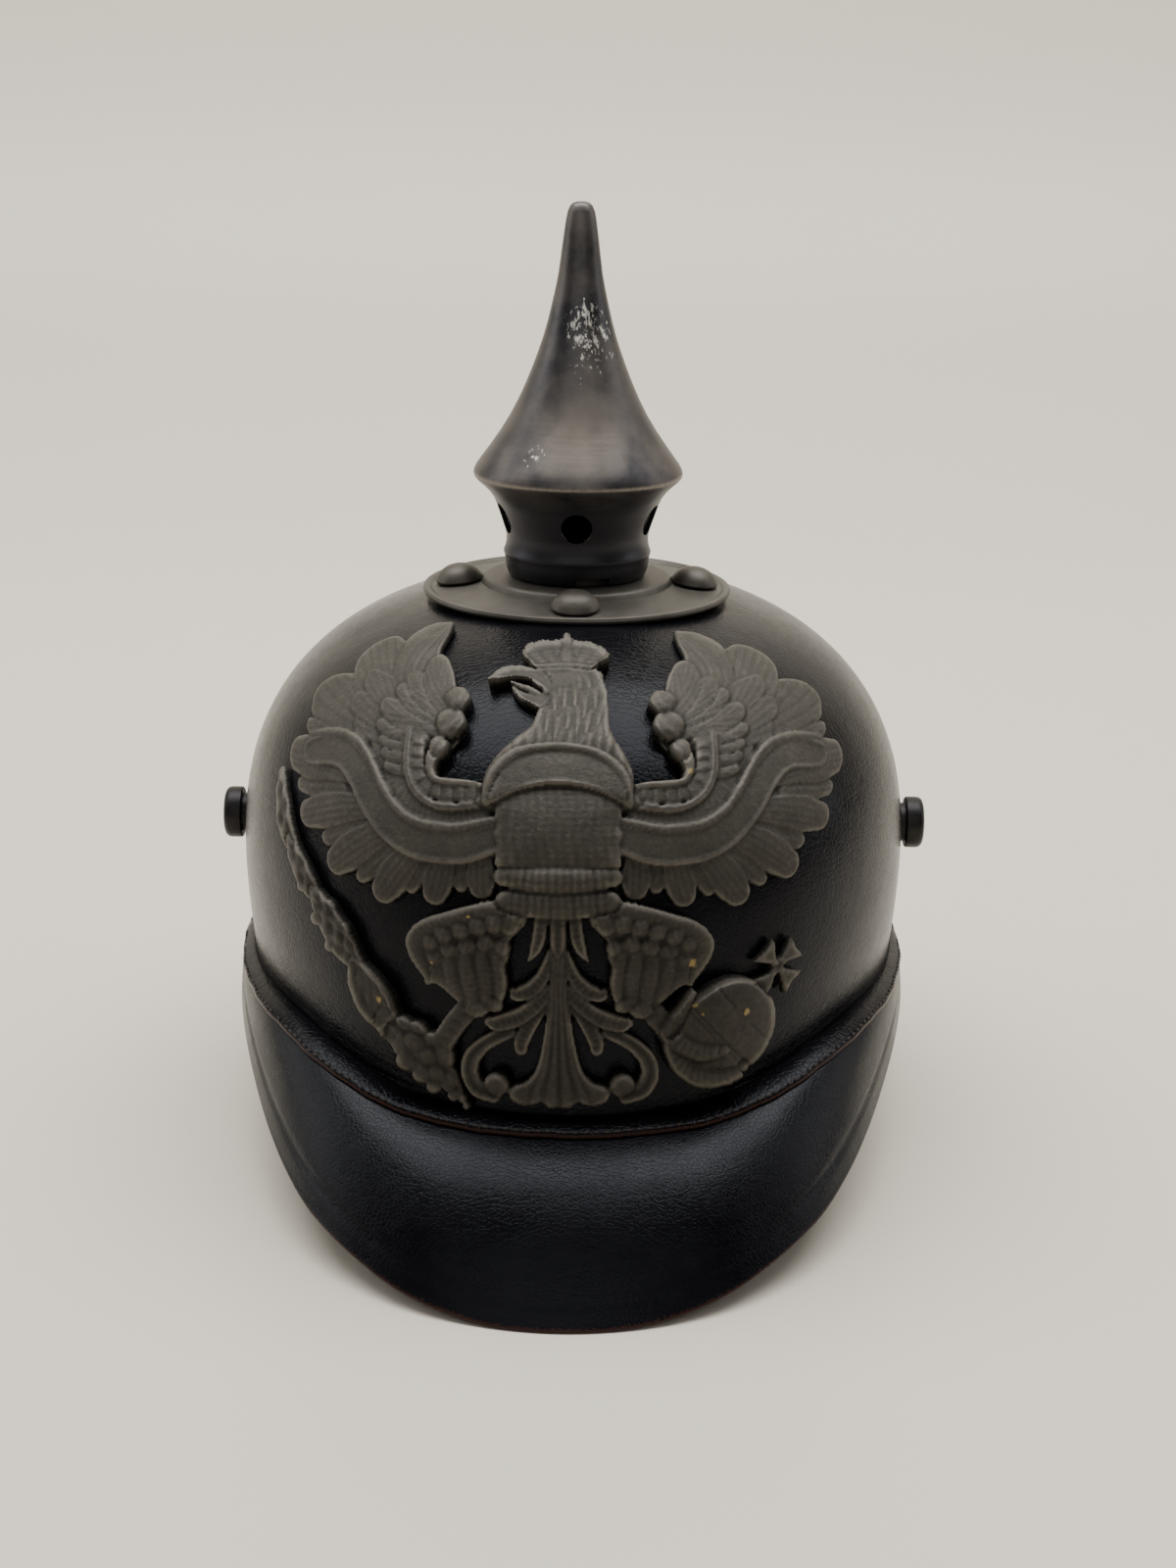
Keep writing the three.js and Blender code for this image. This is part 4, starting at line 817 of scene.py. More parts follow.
# Heights of each kind, from measures in mm: s along, t across, d to the edge, and x from 0 on the
# axis to 1 at the edge. Edged kinds have a shoulder down to the outline and a crown, domed ones are round.
def edged(m, drop, radius, crown=0.0):
    return m.top - drop * (1 - shoulder(m.d, radius)) + crown * (1 - m.x ** 2)


def domed(m, drop, spread=1.0):
    return m.top - drop * (1 - bulge(m.x)) * spread


# 0 up to a depth inside the outline, then rising to 1.
def innerShare(m, start, rise):
    return np.clip((m.d - start) / rise, 0, 1)


def featherRelief(m):
    lines = 0.2 * ridge(np.abs(m.t), 0.75, 0.4) + 0.16 * ridge(np.abs(m.t), 2.3, 0.4)
    lines = lines * innerShare(m, 0.5, 0.6) * np.clip((m.half - 1.4) / 1.2, 0, 1)
    return edged(m, 0.6, 0.6, 0.35) + 0.14 * ridge(m.d, 0.5, 0.3) - lines


def bladeRelief(m):
    lines = 0.2 * ridge(m.x, 0.62, 0.06) + 0.22 * ridge(m.x, 0.2, 0.06)
    lines += 0.18 * ridge(m.x, -0.4, 0.06) - 0.2 * ridge(m.x, 0.08, 0.06)
    return edged(m, 0.6, 0.6, 0.5) - lines * innerShare(m, 0.5, 0.6)


# Broad feathers: faint rays from the wing's elbow.
def broadRelief(m):
    elbowU, elbowV = eagleSettings["elbow"]
    rays = np.degrees(np.arctan2(m.v - elbowV, m.u - elbowU))
    lines = 0.05 * wave(rays, 6.5) + 0.03 * wave(rays, 3.1)
    return edged(m, 0.6, 0.6) + 0.14 * ridge(m.d, 0.5, 0.3) + lines * innerShare(m, 0.6, 0.8)


def covertRelief(m):
    lines = 0.07 * wave(np.abs(m.t) - 0.3 * m.s, 1.7) * innerShare(m, 0.5, 0.6)
    return edged(m, 0.7, 0.6, 0.3) + lines + 0.16 * ridge(m.d, 0.55, 0.35) + 0.02 * m.s


# Overlapping scallops: each rises along the row and drops to the next.
def scallopRelief(m):
    step = (m.s / 3.0) % 1.0
    return edged(m, 0.3, 0.4) - 0.45 + 0.5 * step * bulge(m.x) ** 0.5


def leafRelief(m):
    hatch = 0.1 * wave(m.s, 1.5) * innerShare(m, 0.5, 0.4)
    return edged(m, 0.85, 0.8) + 0.25 * ridge(m.d, 0.6, 0.35) - 0.2 * ridge(m.x, 0, 0.3) + hatch


def limbRelief(m):
    rings = 0.28 * ridge((m.s / 2.7) % 1.0, 0.5, 0.14) * (m.x < 0.2)
    return domed(m, 1.3) - rings * (1 - m.x ** 2)


# Tuft: a low lump with strokes down it.
def tuftRelief(m):
    return domed(m, 1.2) + 0.08 * wave(m.u + 0.3 * m.v, 1.6) + 0.12 * np.sin(1.1 * m.u - 1.3 * m.v)


def rollRelief(m):
    lobes = 0.3 * np.abs(np.sin(math.pi * (m.s + 0.6) / 5.4)) ** 0.5
    beads = 0.14 * wave(m.s, 1.8) + 0.05 * wave(m.t, 1.5)
    return domed(m, 1.7) + lobes + beads - 0.25


# Neck: pointed locks in rows, each row's tips over the next, that follow the bend of the neck.
def neckRelief(m):
    bent = m.u - 1.5 * np.sin((m.v - 127) / 8.5)
    down = (151.5 - m.v + 1.7 * np.sin(0.9 * bent) + 1.0 * np.sin(2.1 * bent + 1)) / 7.2
    row, along = np.floor(down), down % 1.0
    across = (bent / 2.5 + 0.5 * (row % 2)) % 1.0 - 0.5
    half = 0.5 * np.sqrt(np.clip(1.04 - along, 0.01, 1))
    lock = np.clip(1 - np.abs(across) / half, 0, 1) ** 0.6
    body = edged(m, 0.9, 1.5, 0.9) + 1.0 * smoothStep(116, 132, m.v)
    return body + 0.75 * lock * (0.5 + 0.5 * along) * innerShare(m, 0, 0.8) - 0.2


# Breast: fine beaded strokes side by side.
def breastRelief(m):
    strokes = 0.07 * wave(m.u + 0.4 * np.sin(m.v / 2), 2.3) + 0.05 * wave(m.v, 1.5)
    return edged(m, 0.6, 0.9) - 1.1 * m.x ** 2 + strokes * innerShare(m, 0, 1.0)


def stemRelief(m):
    x = m.u / np.interp(m.v, *stemHalf)
    lines = 0.6 * ridge(x, 0, 0.1) + 0.5 * ridge(np.abs(x), 0.42, 0.1) + 0.35 * ridge(np.abs(x), 0.76, 0.08)
    return edged(m, 1.0, 1.1) - lines + 0.5 * ridge(m.v, 41, 2.2)


def budRelief(m):
    knots = 0.22 * np.sin(1.2 * m.s + 1.1 * m.t) + 0.2 * np.sin(0.9 * m.s - 1.5 * m.t + 1)
    knots += 0.1 * np.sin(2.3 * m.t + 0.7 * m.s)
    return edged(m, 0.9, 1.4, 0.3) + knots * innerShare(m, 0, 1.0)


def calyxRelief(m):
    knots = 0.16 * np.sin(1.5 * m.s + m.t) * np.sin(1.2 * m.t)
    return edged(m, 0.9, 0.9) + 0.3 * ridge(m.d, 0.9, 0.6) - 0.3 * smoothStep(1.2, 2.4, m.d) + knots


# Leafy lump: low, with a crease.
def lumpRelief(m):
    slant = 0.7 * m.u + 0.7 * m.v
    crease = 0.35 * ridge(slant, np.median(slant), 0.45)
    return domed(m, 1.5, np.clip(m.half / 3, 0.4, 1)) - crease * (m.half > 1.8)


# Orb: two bands and a far one, on the slant.
def orbRelief(m):
    lean = math.radians(-50)
    u, v = m.u - orbBoss[1], m.v - orbBoss[2]
    across = v * math.cos(lean) - u * math.sin(lean)
    along = u * math.cos(lean) + v * math.sin(lean)
    bands = 0.5 * ridge(across, -3.0, 0.3) + 0.4 * ridge(across, -4.1, 0.3)
    far = 0.45 * ridge(across, 4.4, 0.3) * (np.abs(along - 1) > 3)
    return domed(m, 3.2) - bands - far + 0.3 * ridge(m.x, 0.94, 0.035)


# Head: smooth face, the eye in its ring, and hair strokes behind the cheek.
def headRelief(m):
    eyeU, eyeV = eagleSettings["birdEye"]
    eye = np.hypot(m.u - eyeU, m.v - eyeV)
    behind = smoothStep(-0.6, 0.8, m.u - 0.5 - 1.5 * (m.v - 144.8))
    hairs = 0.2 * wave(m.u + 0.2 * m.v, 1.9) * behind
    ring = 0.4 * ridge(eye, 1.6, 0.45) - 0.4 * ridge(eye, 0.8, 0.4) + 0.25 * ridge(eye, 0, 0.5)
    return m.top - 1.2 * m.x ** 2 + hairs + ring


# Crown: arches that fan out from below.
def crownRelief(m):
    u, v = m.u - eagleSettings["crownFoot"][0], m.v - eagleSettings["crownFoot"][1]
    ribs = np.abs(np.sin(math.pi * np.degrees(np.arctan2(u, v)) / 15.0)) ** 0.5
    return edged(m, 1.0, 1.2) + 0.45 * ribs - 0.2 + 0.08 * wave(np.hypot(u, v), 1.6)


reliefs = {
    "feather": featherRelief, "blade": bladeRelief, "broad": broadRelief, "covert": covertRelief,
    "scallop": scallopRelief, "leaf": leafRelief, "limb": limbRelief, "tuft": tuftRelief, "roll": rollRelief,
    "neck": neckRelief, "breast": breastRelief, "stem": stemRelief, "bud": budRelief, "calyx": calyxRelief,
    "lump": lumpRelief, "orb": orbRelief, "head": headRelief, "crown": crownRelief,
    "web": lambda m: edged(m, 0.4, 0.6),
    "hatch": lambda m: edged(m, 0.4, 0.6) + 0.07 * wave(m.s, 1.5),
    "plain": lambda m: edged(m, 0.9, 0.95, 0.3),
    "collar": lambda m: edged(m, 0.4, 0.5),
    "ribbon": lambda m: edged(m, 0.5, 0.45) - 0.35 + 0.5 * ridge(m.d, 0.7, 0.4),
    "double": lambda m: edged(m, 0.8, 0.5) - 0.45 * ridge(m.x, 0, 0.3),
    "scroll": lambda m: edged(m, 0.9, 0.8) - 0.55 * ridge(m.x, 0.15, 0.3),
    "ringed": lambda m: edged(m, 0.9, 0.9) + 0.5 * np.abs(wave(m.s, 3.4)) - 0.3,
    "beak": lambda m: edged(m, 1.1, 1.3) - 0.25 * ridge(m.d, 1.5, 0.35),
    "thigh": lambda m: edged(m, 1.0, 1.6) + 0.08 * wave(m.v - 0.3 * m.u, 1.5),
    "border": lambda m: domed(m, 0.7),
    "tube": lambda m: domed(m, 1.2),
    "toe": lambda m: domed(m, 1.2) + 0.1 * wave(m.s, 1.9) * (np.abs(m.x) < 0.7),
    "tongue": lambda m: domed(m, 0.9) + 0.06 * wave(m.s, 1.5),  # ladder marks across
    "ball": lambda m: domed(m, 2.4, np.clip(m.half / 4, 0.45, 1)),
    "knob": lambda m: domed(m, 1.7, np.clip(m.half / 3, 0.5, 1)) + 0.12 * np.sin(1.5 * m.u + 1.1 * m.v),
}
softKinds = {"head", "tuft", "lump"}  # these run into what lies under them


class Measures:
    pass


class ReliefSheet:
    # Height and inside distance on a flat grid; each shape is laid over those before it.
    def __init__(self):
        e = eagleSettings
        self.us = np.arange(e["low"][0], e["high"][0] + e["cell"] / 2, e["cell"])
        self.vs = np.arange(e["low"][1], e["high"][1] + e["cell"] / 2, e["cell"])
        self.u, self.v = np.meshgrid(self.us, self.vs)
        rise = e["leftRise"] * smoothStep(*e["leftRiseOver"], self.v) * (self.u < e["leftFrom"])
        self.vDrawn = self.v - rise  # the left wing's tip stands higher than the right one's
        self.height = np.zeros_like(self.u)
        self.inside = np.full_like(self.u, e["farOut"])

    # The part of the grid round a shape, and the shape's own u and v there.
    def window(self, side, uEnds, vEnds):
        margin, marginAbove = eagleSettings["margins"]
        uLow, uHigh = sorted(side * u for u in uEnds)
        i = slice(*np.searchsorted(self.us, (uLow - margin, uHigh + margin)))
        j = slice(*np.searchsorted(self.vs, (vEnds[0] - margin, vEnds[1] + marginAbove)))
        m = Measures()
        m.u, m.v = self.u[j, i] * side, self.vDrawn[j, i]
        return (j, i), m

    def lay(self, kind, where, m):
        relief = reliefs[kind](m)
        if kind in softKinds:
            relief = np.maximum(relief, self.height[where])
        self.height[where] = np.where(m.d > 0, relief, self.height[where])
        self.inside[where] = np.maximum(self.inside[where], m.d)

    def strip(self, kind, marks, side=1):
        e = eagleSettings
        marks = np.array(marks, float)
        reach = np.linalg.norm(np.diff(marks[:, :2], axis=0), axis=1)
        path = []
        for a, r in enumerate(reach):
            for k in np.linspace(0, 1, max(3, int(r / e["stripStep"])), endpoint=False):
                path.append([smoothThrough(marks[:, c], a + k) for c in range(4)])
        path = np.array(path + [marks[-1]])
        path[:, 2] = np.maximum(path[:, 2], e["stripLeast"])
        wide = path[:, 2].max()
        where, m = self.window(side, (path[:, 0].min() - wide, path[:, 0].max() + wide),
                               (path[:, 1].min() - wide, path[:, 1].max() + wide))
        du = m.u[..., None] - path[:, 0]
        dv = m.v[..., None] - path[:, 1]
        away = np.hypot(du, dv)
        near = np.argmin(away - e["stripPull"] * path[:, 2], axis=-1)[..., None]
        ahead = np.gradient(path[:, :2], axis=0)
        ahead /= np.linalg.norm(ahead, axis=1)[:, None]
        away, du, dv = (np.take_along_axis(field, near, -1)[..., 0] for field in (away, du, dv))
        near = near[..., 0]
        steps = np.linalg.norm(np.diff(path[:, :2], axis=0), axis=1)
        m.s = np.concatenate([[0], np.cumsum(steps)])[near]
        m.t = ahead[near, 0] * dv - ahead[near, 1] * du
        m.half = path[near, 2]
        m.top = path[near, 3]
        m.d = m.half - away
        m.x = np.clip(away * np.sign(m.t) / m.half, -1, 1)
        self.lay(kind, where, m)

    def strips(self, rows, side=1):
        for kind, marks in rows:
            self.strip(kind, marks, side)

    def feathers(self, kind, rows, top, side):
        for rootU, rootV, tipU, tipV, wide, bow in rows:
            root, run = np.array([rootU, rootV]), np.array([tipU - rootU, tipV - rootV])
            sideways = np.array([-run[1], run[0]]) / np.linalg.norm(run)
            end = 1 - 0.4 * wide / np.linalg.norm(run)  # the round tip reaches the rest of the way
            marks = []
            for along, share in eagleSettings["featherShape"]:
                spot = root + run * along * end + sideways * bow * 4 * along * (1 - along)
                marks.append((spot[0], spot[1], share * wide / 2, top))
            self.strip(kind, marks, side)

    def boss(self, kind, u, v, across, up, top, side=1):
        where, m = self.window(side, (u - across, u + across), (v - up, v + up))
        du, dv = (m.u - u) / across, (m.v - v) / up
        r = np.hypot(du, dv)
        m.x = np.clip(r, 0, 1)
        m.half = np.full_like(r, min(across, up))
        m.top = np.full_like(r, top)
        m.d = (1 - r) * min(across, up)
        m.s, m.t = np.arctan2(dv, du) * across, r * across
        self.lay(kind, where, m)

    # A shape with a free outline, rounded through its points unless it is sharp.
    def patch(self, kind, outline, top, side=1, sharp=False):
        points = np.array(outline, float)
        if not sharp:
            ring = np.concatenate([points[-1:], points, points[:2]])
            points = np.array([[smoothThrough(ring[:, c], i + k) for c in range(2)]
                               for i in range(1, len(outline) + 1) for k in (0, 0.25, 0.5, 0.75)])
        where, m = self.window(side, (points[:, 0].min(), points[:, 0].max()),
                               (points[:, 1].min(), points[:, 1].max()))
        near = np.full_like(m.u, np.inf)
        within = np.zeros(m.u.shape, bool)
        for (au, av), (bu, bv) in zip(points, np.roll(points, -1, 0)):
            eu, ev = bu - au, bv - av
            k = np.clip(((m.u - au) * eu + (m.v - av) * ev) / max(eu * eu + ev * ev, 1e-9), 0, 1)
            near = np.minimum(near, np.hypot(m.u - au - k * eu, m.v - av - k * ev))
            if av != bv:
                within ^= ((av > m.v) != (bv > m.v)) & (m.u < au + (m.v - av) / (bv - av) * eu)
        m.d = np.where(within, near, -near)
        m.half = np.full_like(near, max(m.d.max(), 0.5))
        m.x = 1 - np.clip(m.d / m.half, 0, 1)
        m.top = np.full_like(near, top)
        m.s, m.t = m.v, m.u
        self.lay(kind, where, m)


def mirrored(half):
    return half + [(-u, v) for u, v in reversed(half) if u > 0]


def drawWing(sheet, side):
    tops = eagleSettings["tops"]
    sheet.strips(webStrips, side)
    for outline in primaries:
        sheet.patch("broad", outline, tops["primaries"], side)
    sheet.strip(*topPrimary, side)
    sheet.feathers("broad", secondaries, tops["secondaries"], side)
    sheet.feathers("feather", smallFeathers, tops["small"], side)
    sheet.feathers("feather", broadFeathers, tops["broad"], side)
    sheet.feathers("covert", reversed(coverts), tops["coverts"], side)
    sheet.strips(wingStrips, side)
    for row in wingBosses:
        sheet.boss(*row, side)


def drawLeg(sheet, side):
    sheet.strips(legStrips, side)
    sheet.patch("thigh", thighOutline, eagleSettings["tops"]["thigh"], side)
    sheet.strips(thighStrips, side)
    for row in thighTufts:
        sheet.boss("tuft", *row, side)
    sheet.strips(tailStrips, side)
    sheet.boss(*scrollBall, side)


def drawCross(sheet):
    c = crossSettings
    neck, hollow = c["reach"] * c["neckShare"], c["reach"] * c["hollowShare"]
    half = [(0, c["inner"]), (neck, c["inner"]), (c["reach"], c["outer"])]
    corners = [(along, -across) for along, across in half] + [(hollow, 0)] + half[::-1]
    for turn in c["turns"]:
        angle = math.radians(turn)
        out = np.array([math.cos(angle), math.sin(angle)])
        left = np.array([-math.sin(angle), math.cos(angle)])
        arm = [np.array(c["at"]) + out * along + left * across for along, across in corners]
        sheet.patch("plain", arm, c["top"], sharp=True)


def drawEagle():
    sheet = ReliefSheet()
    tops = eagleSettings["tops"]
    for side in (1, -1):
        drawWing(sheet, side)
    sheet.strips(sceptreStrips)
    sheet.boss(*orbBoss)
    for side in (1, -1):
        drawLeg(sheet, side)
    for row in sceptreLumps:
        sheet.boss("lump", *row)
    sheet.strips(orbStrips)
    drawCross(sheet)
    sheet.patch("stem", mirrored(stemOutline), tops["stem"])
    sheet.strip(*leafTop)
    sheet.strip(*rolls[0])
    sheet.patch("neck", neckOutline, tops["neck"])
    sheet.patch("breast", mirrored(breastOutline), tops["breast"])
    sheet.strip(*rolls[1])
    sheet.patch("collar", mirrored(collarOutline), tops["collar"])
    sheet.strips(collarStrips)
    sheet.patch("beak", jawOutline, tops["jaw"])
    sheet.strip(*tongueMarks)
    sheet.boss(*headBoss)
    sheet.patch("beak", beakOutline, tops["beak"])
    sheet.patch("crown", crownOutline, tops["crown"])
    sheet.strips(crownStrips)
    return sheet


# Spreads each value over its neighbours, so many times.
def blurred(field, times):
    for _ in range(times):
        wide = np.pad(field, 1, mode="edge")
        rows = (wide[:-2] + 2 * wide[1:-1] + wide[2:]) / 4
        field = (rows[:, :-2] + 2 * rows[:, 1:-1] + rows[:, 2:]) / 4
    return field


# The layout was read off at one level over the leather, as seen from in front and above, so parts that
# stand higher are set back along that line of sight.
def leaned(u, v, height):
    e = eagleSettings
    spot = onFront(u, v, np.full_like(u, e["level"]))
    sight = spot - np.array(e["viewpoint"])
    sight /= np.linalg.norm(sight, axis=-1)[..., None]
    outward = onFront(u, v, np.full_like(u, e["level"] + 1)) - spot
    back = np.maximum(height - e["level"], 0) / (sight * outward).sum(-1)
    across = onFront(u + 1, v, np.full_like(u, e["level"])) - spot
    upward = onFront(u, v + 1, np.full_like(u, e["level"])) - spot
    return (u + back * (sight * across).sum(-1) / (across ** 2).sum(-1),
            v + back * (sight * upward).sum(-1) / (upward ** 2).sum(-1))


def makeEagle():
    e = eagleSettings
    sheet = drawEagle()
    inside = sheet.inside > 0
    height = np.where(inside, np.maximum(sheet.height, e["edge"]), 0)
    head = smoothStep(e["headFrom"], e["headTo"], sheet.v) * (np.abs(sheet.u) < e["headHalf"])
    lowered = height - e["headLow"] * head * blurred(height, e["headBlur"])
    height = np.where(inside, np.maximum(lowered, e["edge"]), 0)
    # painted shade: the relief is darkened towards the bottom of the eagle, where it stands in shade
    lowShade = e["lowShade"] * (1 - smoothStep(*e["lowShadeEdge"], sheet.v))
    relief = np.clip(0.5 - lowShade + (height - blurred(height, e["shadeBlur"])) / e["shadeDepth"], 0, 1)
    height = np.where(blurred(inside * 1.0, 1) > 0.99, blurred(height, 1), np.maximum(height, e["edge"]))
    gilt = np.zeros_like(height)
    for u, v, reach in e["giltSpots"]:
        gilt = np.maximum(gilt, 1 - np.hypot(sheet.u - u, sheet.v - v) / reach)
    # points just outside step onto the outline
    du, dv = np.gradient(sheet.inside, e["cell"])[::-1]
    slope = np.maximum(du ** 2 + dv ** 2, e["slopeLeast"])
    shift = np.clip(np.where(inside, 0, -sheet.inside) / slope, 0, e["cell"] * e["stepMost"])
    u, v = leaned(sheet.u + du * shift, sheet.v + dv * shift, blurred(height, e["leanBlur"]))
    front = onFront(u, v, height) * mm
    behind = onFront(u, v, np.full_like(height, e["back"])) * mm
    rows, columns = height.shape
    bm = bmesh.new()
    bmesh.ops.create_grid(bm, x_segments=columns - 1, y_segments=rows - 1, size=0.5)
    rowLayer = bm.verts.layers.int.new("gridRow")
    columnLayer = bm.verts.layers.int.new("gridColumn")
    reliefLayer = bm.verts.layers.float.new("relief")
    giltLayer = bm.verts.layers.float.new("gilt")
    for vert in bm.verts:
        vert[rowLayer] = row = round((vert.co.y + 0.5) * (rows - 1))
        vert[columnLayer] = column = round((vert.co.x + 0.5) * (columns - 1))
        vert[reliefLayer] = relief[row, column]
        vert[giltLayer] = gilt[row, column]
    outside = [face for face in bm.faces
               if not any(inside[vert[rowLayer], vert[columnLayer]] for vert in face.verts)]
    bmesh.ops.delete(bm, geom=outside, context="FACES")
    raised = bmesh.ops.extrude_face_region(bm, geom=bm.faces[:])["geom"]
    raised = {item for item in raised if isinstance(item, bmesh.types.BMVert)}
    for vert in bm.verts:
        key = vert[rowLayer], vert[columnLayer]
        vert.co = front[key] if vert in raised else behind[key]
    bm.verts.layers.int.remove(bm.verts.layers.int["gridRow"])
    bm.verts.layers.int.remove(bm.verts.layers.int["gridColumn"])
    bmesh.ops.recalc_face_normals(bm, faces=bm.faces[:])
    return toObject(bm, "stamped_eagle", [finishes["eagle"]])


finishPiece(makeEagle(), "helmet", "grey_steel", "eagle_plate", sharp=70)


# Spike base: dished plate with a rolled rim, a rounded step and the collar that the spike locks on.
baseSettings = {
    "steps": 160,
    "profile": [(39.7, 138.8), (40.3, 139.0), (40.5, 139.6), (40.25, 140.3), (39.6, 140.6), (38.8, 140.45),
                (38.3, 139.95), (37.8, 139.75), (37.2, 139.85), (31, 140.7), (26.2, 141.3), (25.3, 141.5),
                (24.9, 142.4), (24.5, 142.9), (23.9, 143.15), (23, 143.2), (14.2, 143.2), (14.2, 147.3),
                (16.9, 147.3), (16.9, 148.5), (12.8, 148.5), (11.2, 146), (11, 143.0), (11, 141.6),
                (20, 141.2), (30, 140.1), (36, 139.2), (38.9, 138.9), (39.7, 138.8)],
    "gapWidth": 10.5, "gapTurns": (89, 269), "gapLow": 146.3, "gapHigh": 149.5, "gapInner": 14.4,
    "gapOuter": 18.9,
}


# A box at a radius and turn about the axis, as a cutter; turn 0 faces the front.
def radialBlock(bm, inner, outer, width, low, high, turn):
    size = Matrix.Diagonal((width * mm, (outer - inner) * mm, (high - low) * mm, 1))
    place = Matrix.Rotation(math.radians(turn), 4, "Z") @ Matrix.Translation(
        Vector((0, -(inner + outer) / 2, (low + high) / 2)) * mm)
    bmesh.ops.create_cube(bm, size=1.0, matrix=place @ size)


def makeBase():
    s = baseSettings
    piece = toObject(turned(s["profile"], s["steps"]), "spike_base_plate", [finishes["plate"]])
    cutters = bmesh.new()
    for turn in s["gapTurns"]:
        radialBlock(cutters, s["gapInner"], s["gapOuter"], s["gapWidth"], s["gapLow"], s["gapHigh"], turn)
    cutAway(piece, cutters)
    return piece


finishPiece(makeBase(), "helmet", "grey_steel", "spike_base")


# Spike: a hollow shell with vents in its neck and bayonet tabs inside its foot.
spikeSettings = {
    "steps": 128, "ventCount": 5, "ventRadius": 4.0, "ventHeight": 159.0, "ventOut": 20.0, "ventDeep": 16.0,
    "ventSides": 40, "tabTurns": (14, 194), "notchWidth": 8.8, "notchOver": 2.0, "foot": 143.5,
    "tabRoot": 0.5, "tabWidth": 8.2, "tabLow": 145.7, "tabHigh": 146.9, "tabInner": 14.6,
    "neckInner": 17.5, "neckOuter": 18.6,
    "outside": [(0, 239.3), (1.2, 239.25), (2.2, 238.9), (2.9, 238.2), (3.5, 236.8), (3.9, 234.8),
                (4.3, 232), (4.7, 229), (5.2, 225), (5.7, 221.2), (6.45, 217.4), (7.35, 213.4),
                (8.3, 209.4), (9.4, 205.4), (10.75, 201.4), (12.2, 197.5), (13.85, 193.4), (15.65, 189.4),
                (17.75, 185.3), (20.2, 181.3), (23.0, 177.2), (25.2, 174.2), (26.5, 172.4), (27.1, 171.2),
                (27.3, 170.4), (27.1, 169.5), (26.3, 168.6), (25.0, 167.5), (23.4, 165.9), (22.1, 164.2),
                (21.3, 162.4), (20.5, 160.2), (19.6, 157.6), (18.9, 155.4), (18.6, 153.8), (18.65, 152.2),
                (18.9, 150.9), (19.2, 150.2), (19.35, 149.7), (19.25, 149.2), (19.0, 148.6), (18.9, 147.4),
                (18.6, 145.6), (18.1, 144.2), (17.7, 143.6)],
    "inside": [(17.2, 143.5), (17.5, 146), (17.6, 150), (17.5, 154.4), (18.4, 158), (19.5, 161.2),
               (21.4, 165), (24.6, 168.8), (25.3, 170.4), (24.8, 172), (17.9, 182.6), (11.0, 197.4),
               (7.1, 210), (4.5, 222), (2.4, 232), (0, 234)],
}


def makeSpike():
    s = spikeSettings
    piece = toObject(turned(s["outside"] + s["inside"], s["steps"]), "turned_spike", [finishes["spike"]])
    cutters = bmesh.new()
    for k in range(s["ventCount"]):
        turn = Matrix.Rotation(2 * math.pi * k / s["ventCount"], 4, "Z")
        out = Matrix.Translation(Vector((0, -s["ventOut"], s["ventHeight"])) * mm)
        bmesh.ops.create_cone(cutters, cap_ends=True, segments=s["ventSides"], radius1=s["ventRadius"] * mm,
                              radius2=s["ventRadius"] * mm, depth=s["ventDeep"] * mm,
                              matrix=turn @ out @ Matrix.Rotation(math.pi / 2, 4, "X"))
    for turn in s["tabTurns"]:
        radialBlock(cutters, s["neckInner"] - s["notchOver"], s["neckOuter"] + s["notchOver"],
                    s["notchWidth"], s["foot"] - 1, s["tabLow"], turn)
    cutAway(piece, cutters)
    bm = bmesh.new()
    bm.from_mesh(piece.data)
    for turn in s["tabTurns"]:
        radialBlock(bm, s["tabInner"], s["neckInner"] + s["tabRoot"], s["tabWidth"],
                    s["tabLow"], s["tabHigh"], turn)
    bm.to_mesh(piece.data)
    bm.free()
    return piece


finishPiece(makeSpike(), "spike", "dark_steel", "spike", sharp=32)


# Studs: low domes with a small flange, one on each quarter of the plate.
studSettings = {
    "circle": 30.9, "seat": 141.05, "slope": 6.7, "steps": 48,
    "profile": [(0, 4.6), (1.4, 4.5), (2.8, 4.15), (4.0, 3.55), (5.0, 2.7), (5.7, 1.75), (6.1, 0.95),
                (6.25, 0.5), (6.1, 0.12), (5.9, 0), (0, 0)],
    "turns": {"stud_front": 0, "stud_right": 90, "stud_rear": 180, "stud_left": 270},
}


def makeStud(name, turn):
    s = studSettings
    bm = turned(s["profile"], s["steps"])
    around = Matrix.Rotation(math.radians(turn), 4, "Z")
    out = Matrix.Translation(Vector((0, -s["circle"], s["seat"])) * mm)
    tilt = Matrix.Rotation(math.radians(s["slope"]), 4, "X")
    bmesh.ops.transform(bm, matrix=around @ out @ tilt, verts=bm.verts[:])
    return toObject(bm, "domed_" + name, [finishes["stud"]])


for studName, studTurn in studSettings["turns"].items():
    finishPiece(makeStud(studName, studTurn), "helmet", "dark_steel", studName)


# Side posts: flat-ended knobs on a short foot.
postSettings = {
    "height": 76.0, "out": 88.3, "steps": 56,
    "profile": [(0, 0), (5.2, 0), (5.2, 1.3), (6.5, 1.3), (6.85, 1.6), (6.9, 2.2), (6.9, 4.4), (6.7, 5.2),
                (6.2, 5.8), (5.3, 6.15), (4.6, 6.2), (0, 6.2)],
}


def makePost(name, side):
    s = postSettings
    bm = turned(s["profile"], s["steps"])
    place = Matrix.Translation(Vector((side * s["out"], 0, s["height"])) * mm)
    turn = Matrix.Rotation(side * math.pi / 2, 4, "Y")
    bmesh.ops.transform(bm, matrix=place @ turn, verts=bm.verts[:])
    return toObject(bm, "knob_" + name, [finishes["post"]])


finishPiece(makePost("side_post_left", -1), "helmet", "dark_steel", "side_post_left")
finishPiece(makePost("side_post_right", 1), "helmet", "dark_steel", "side_post_right")


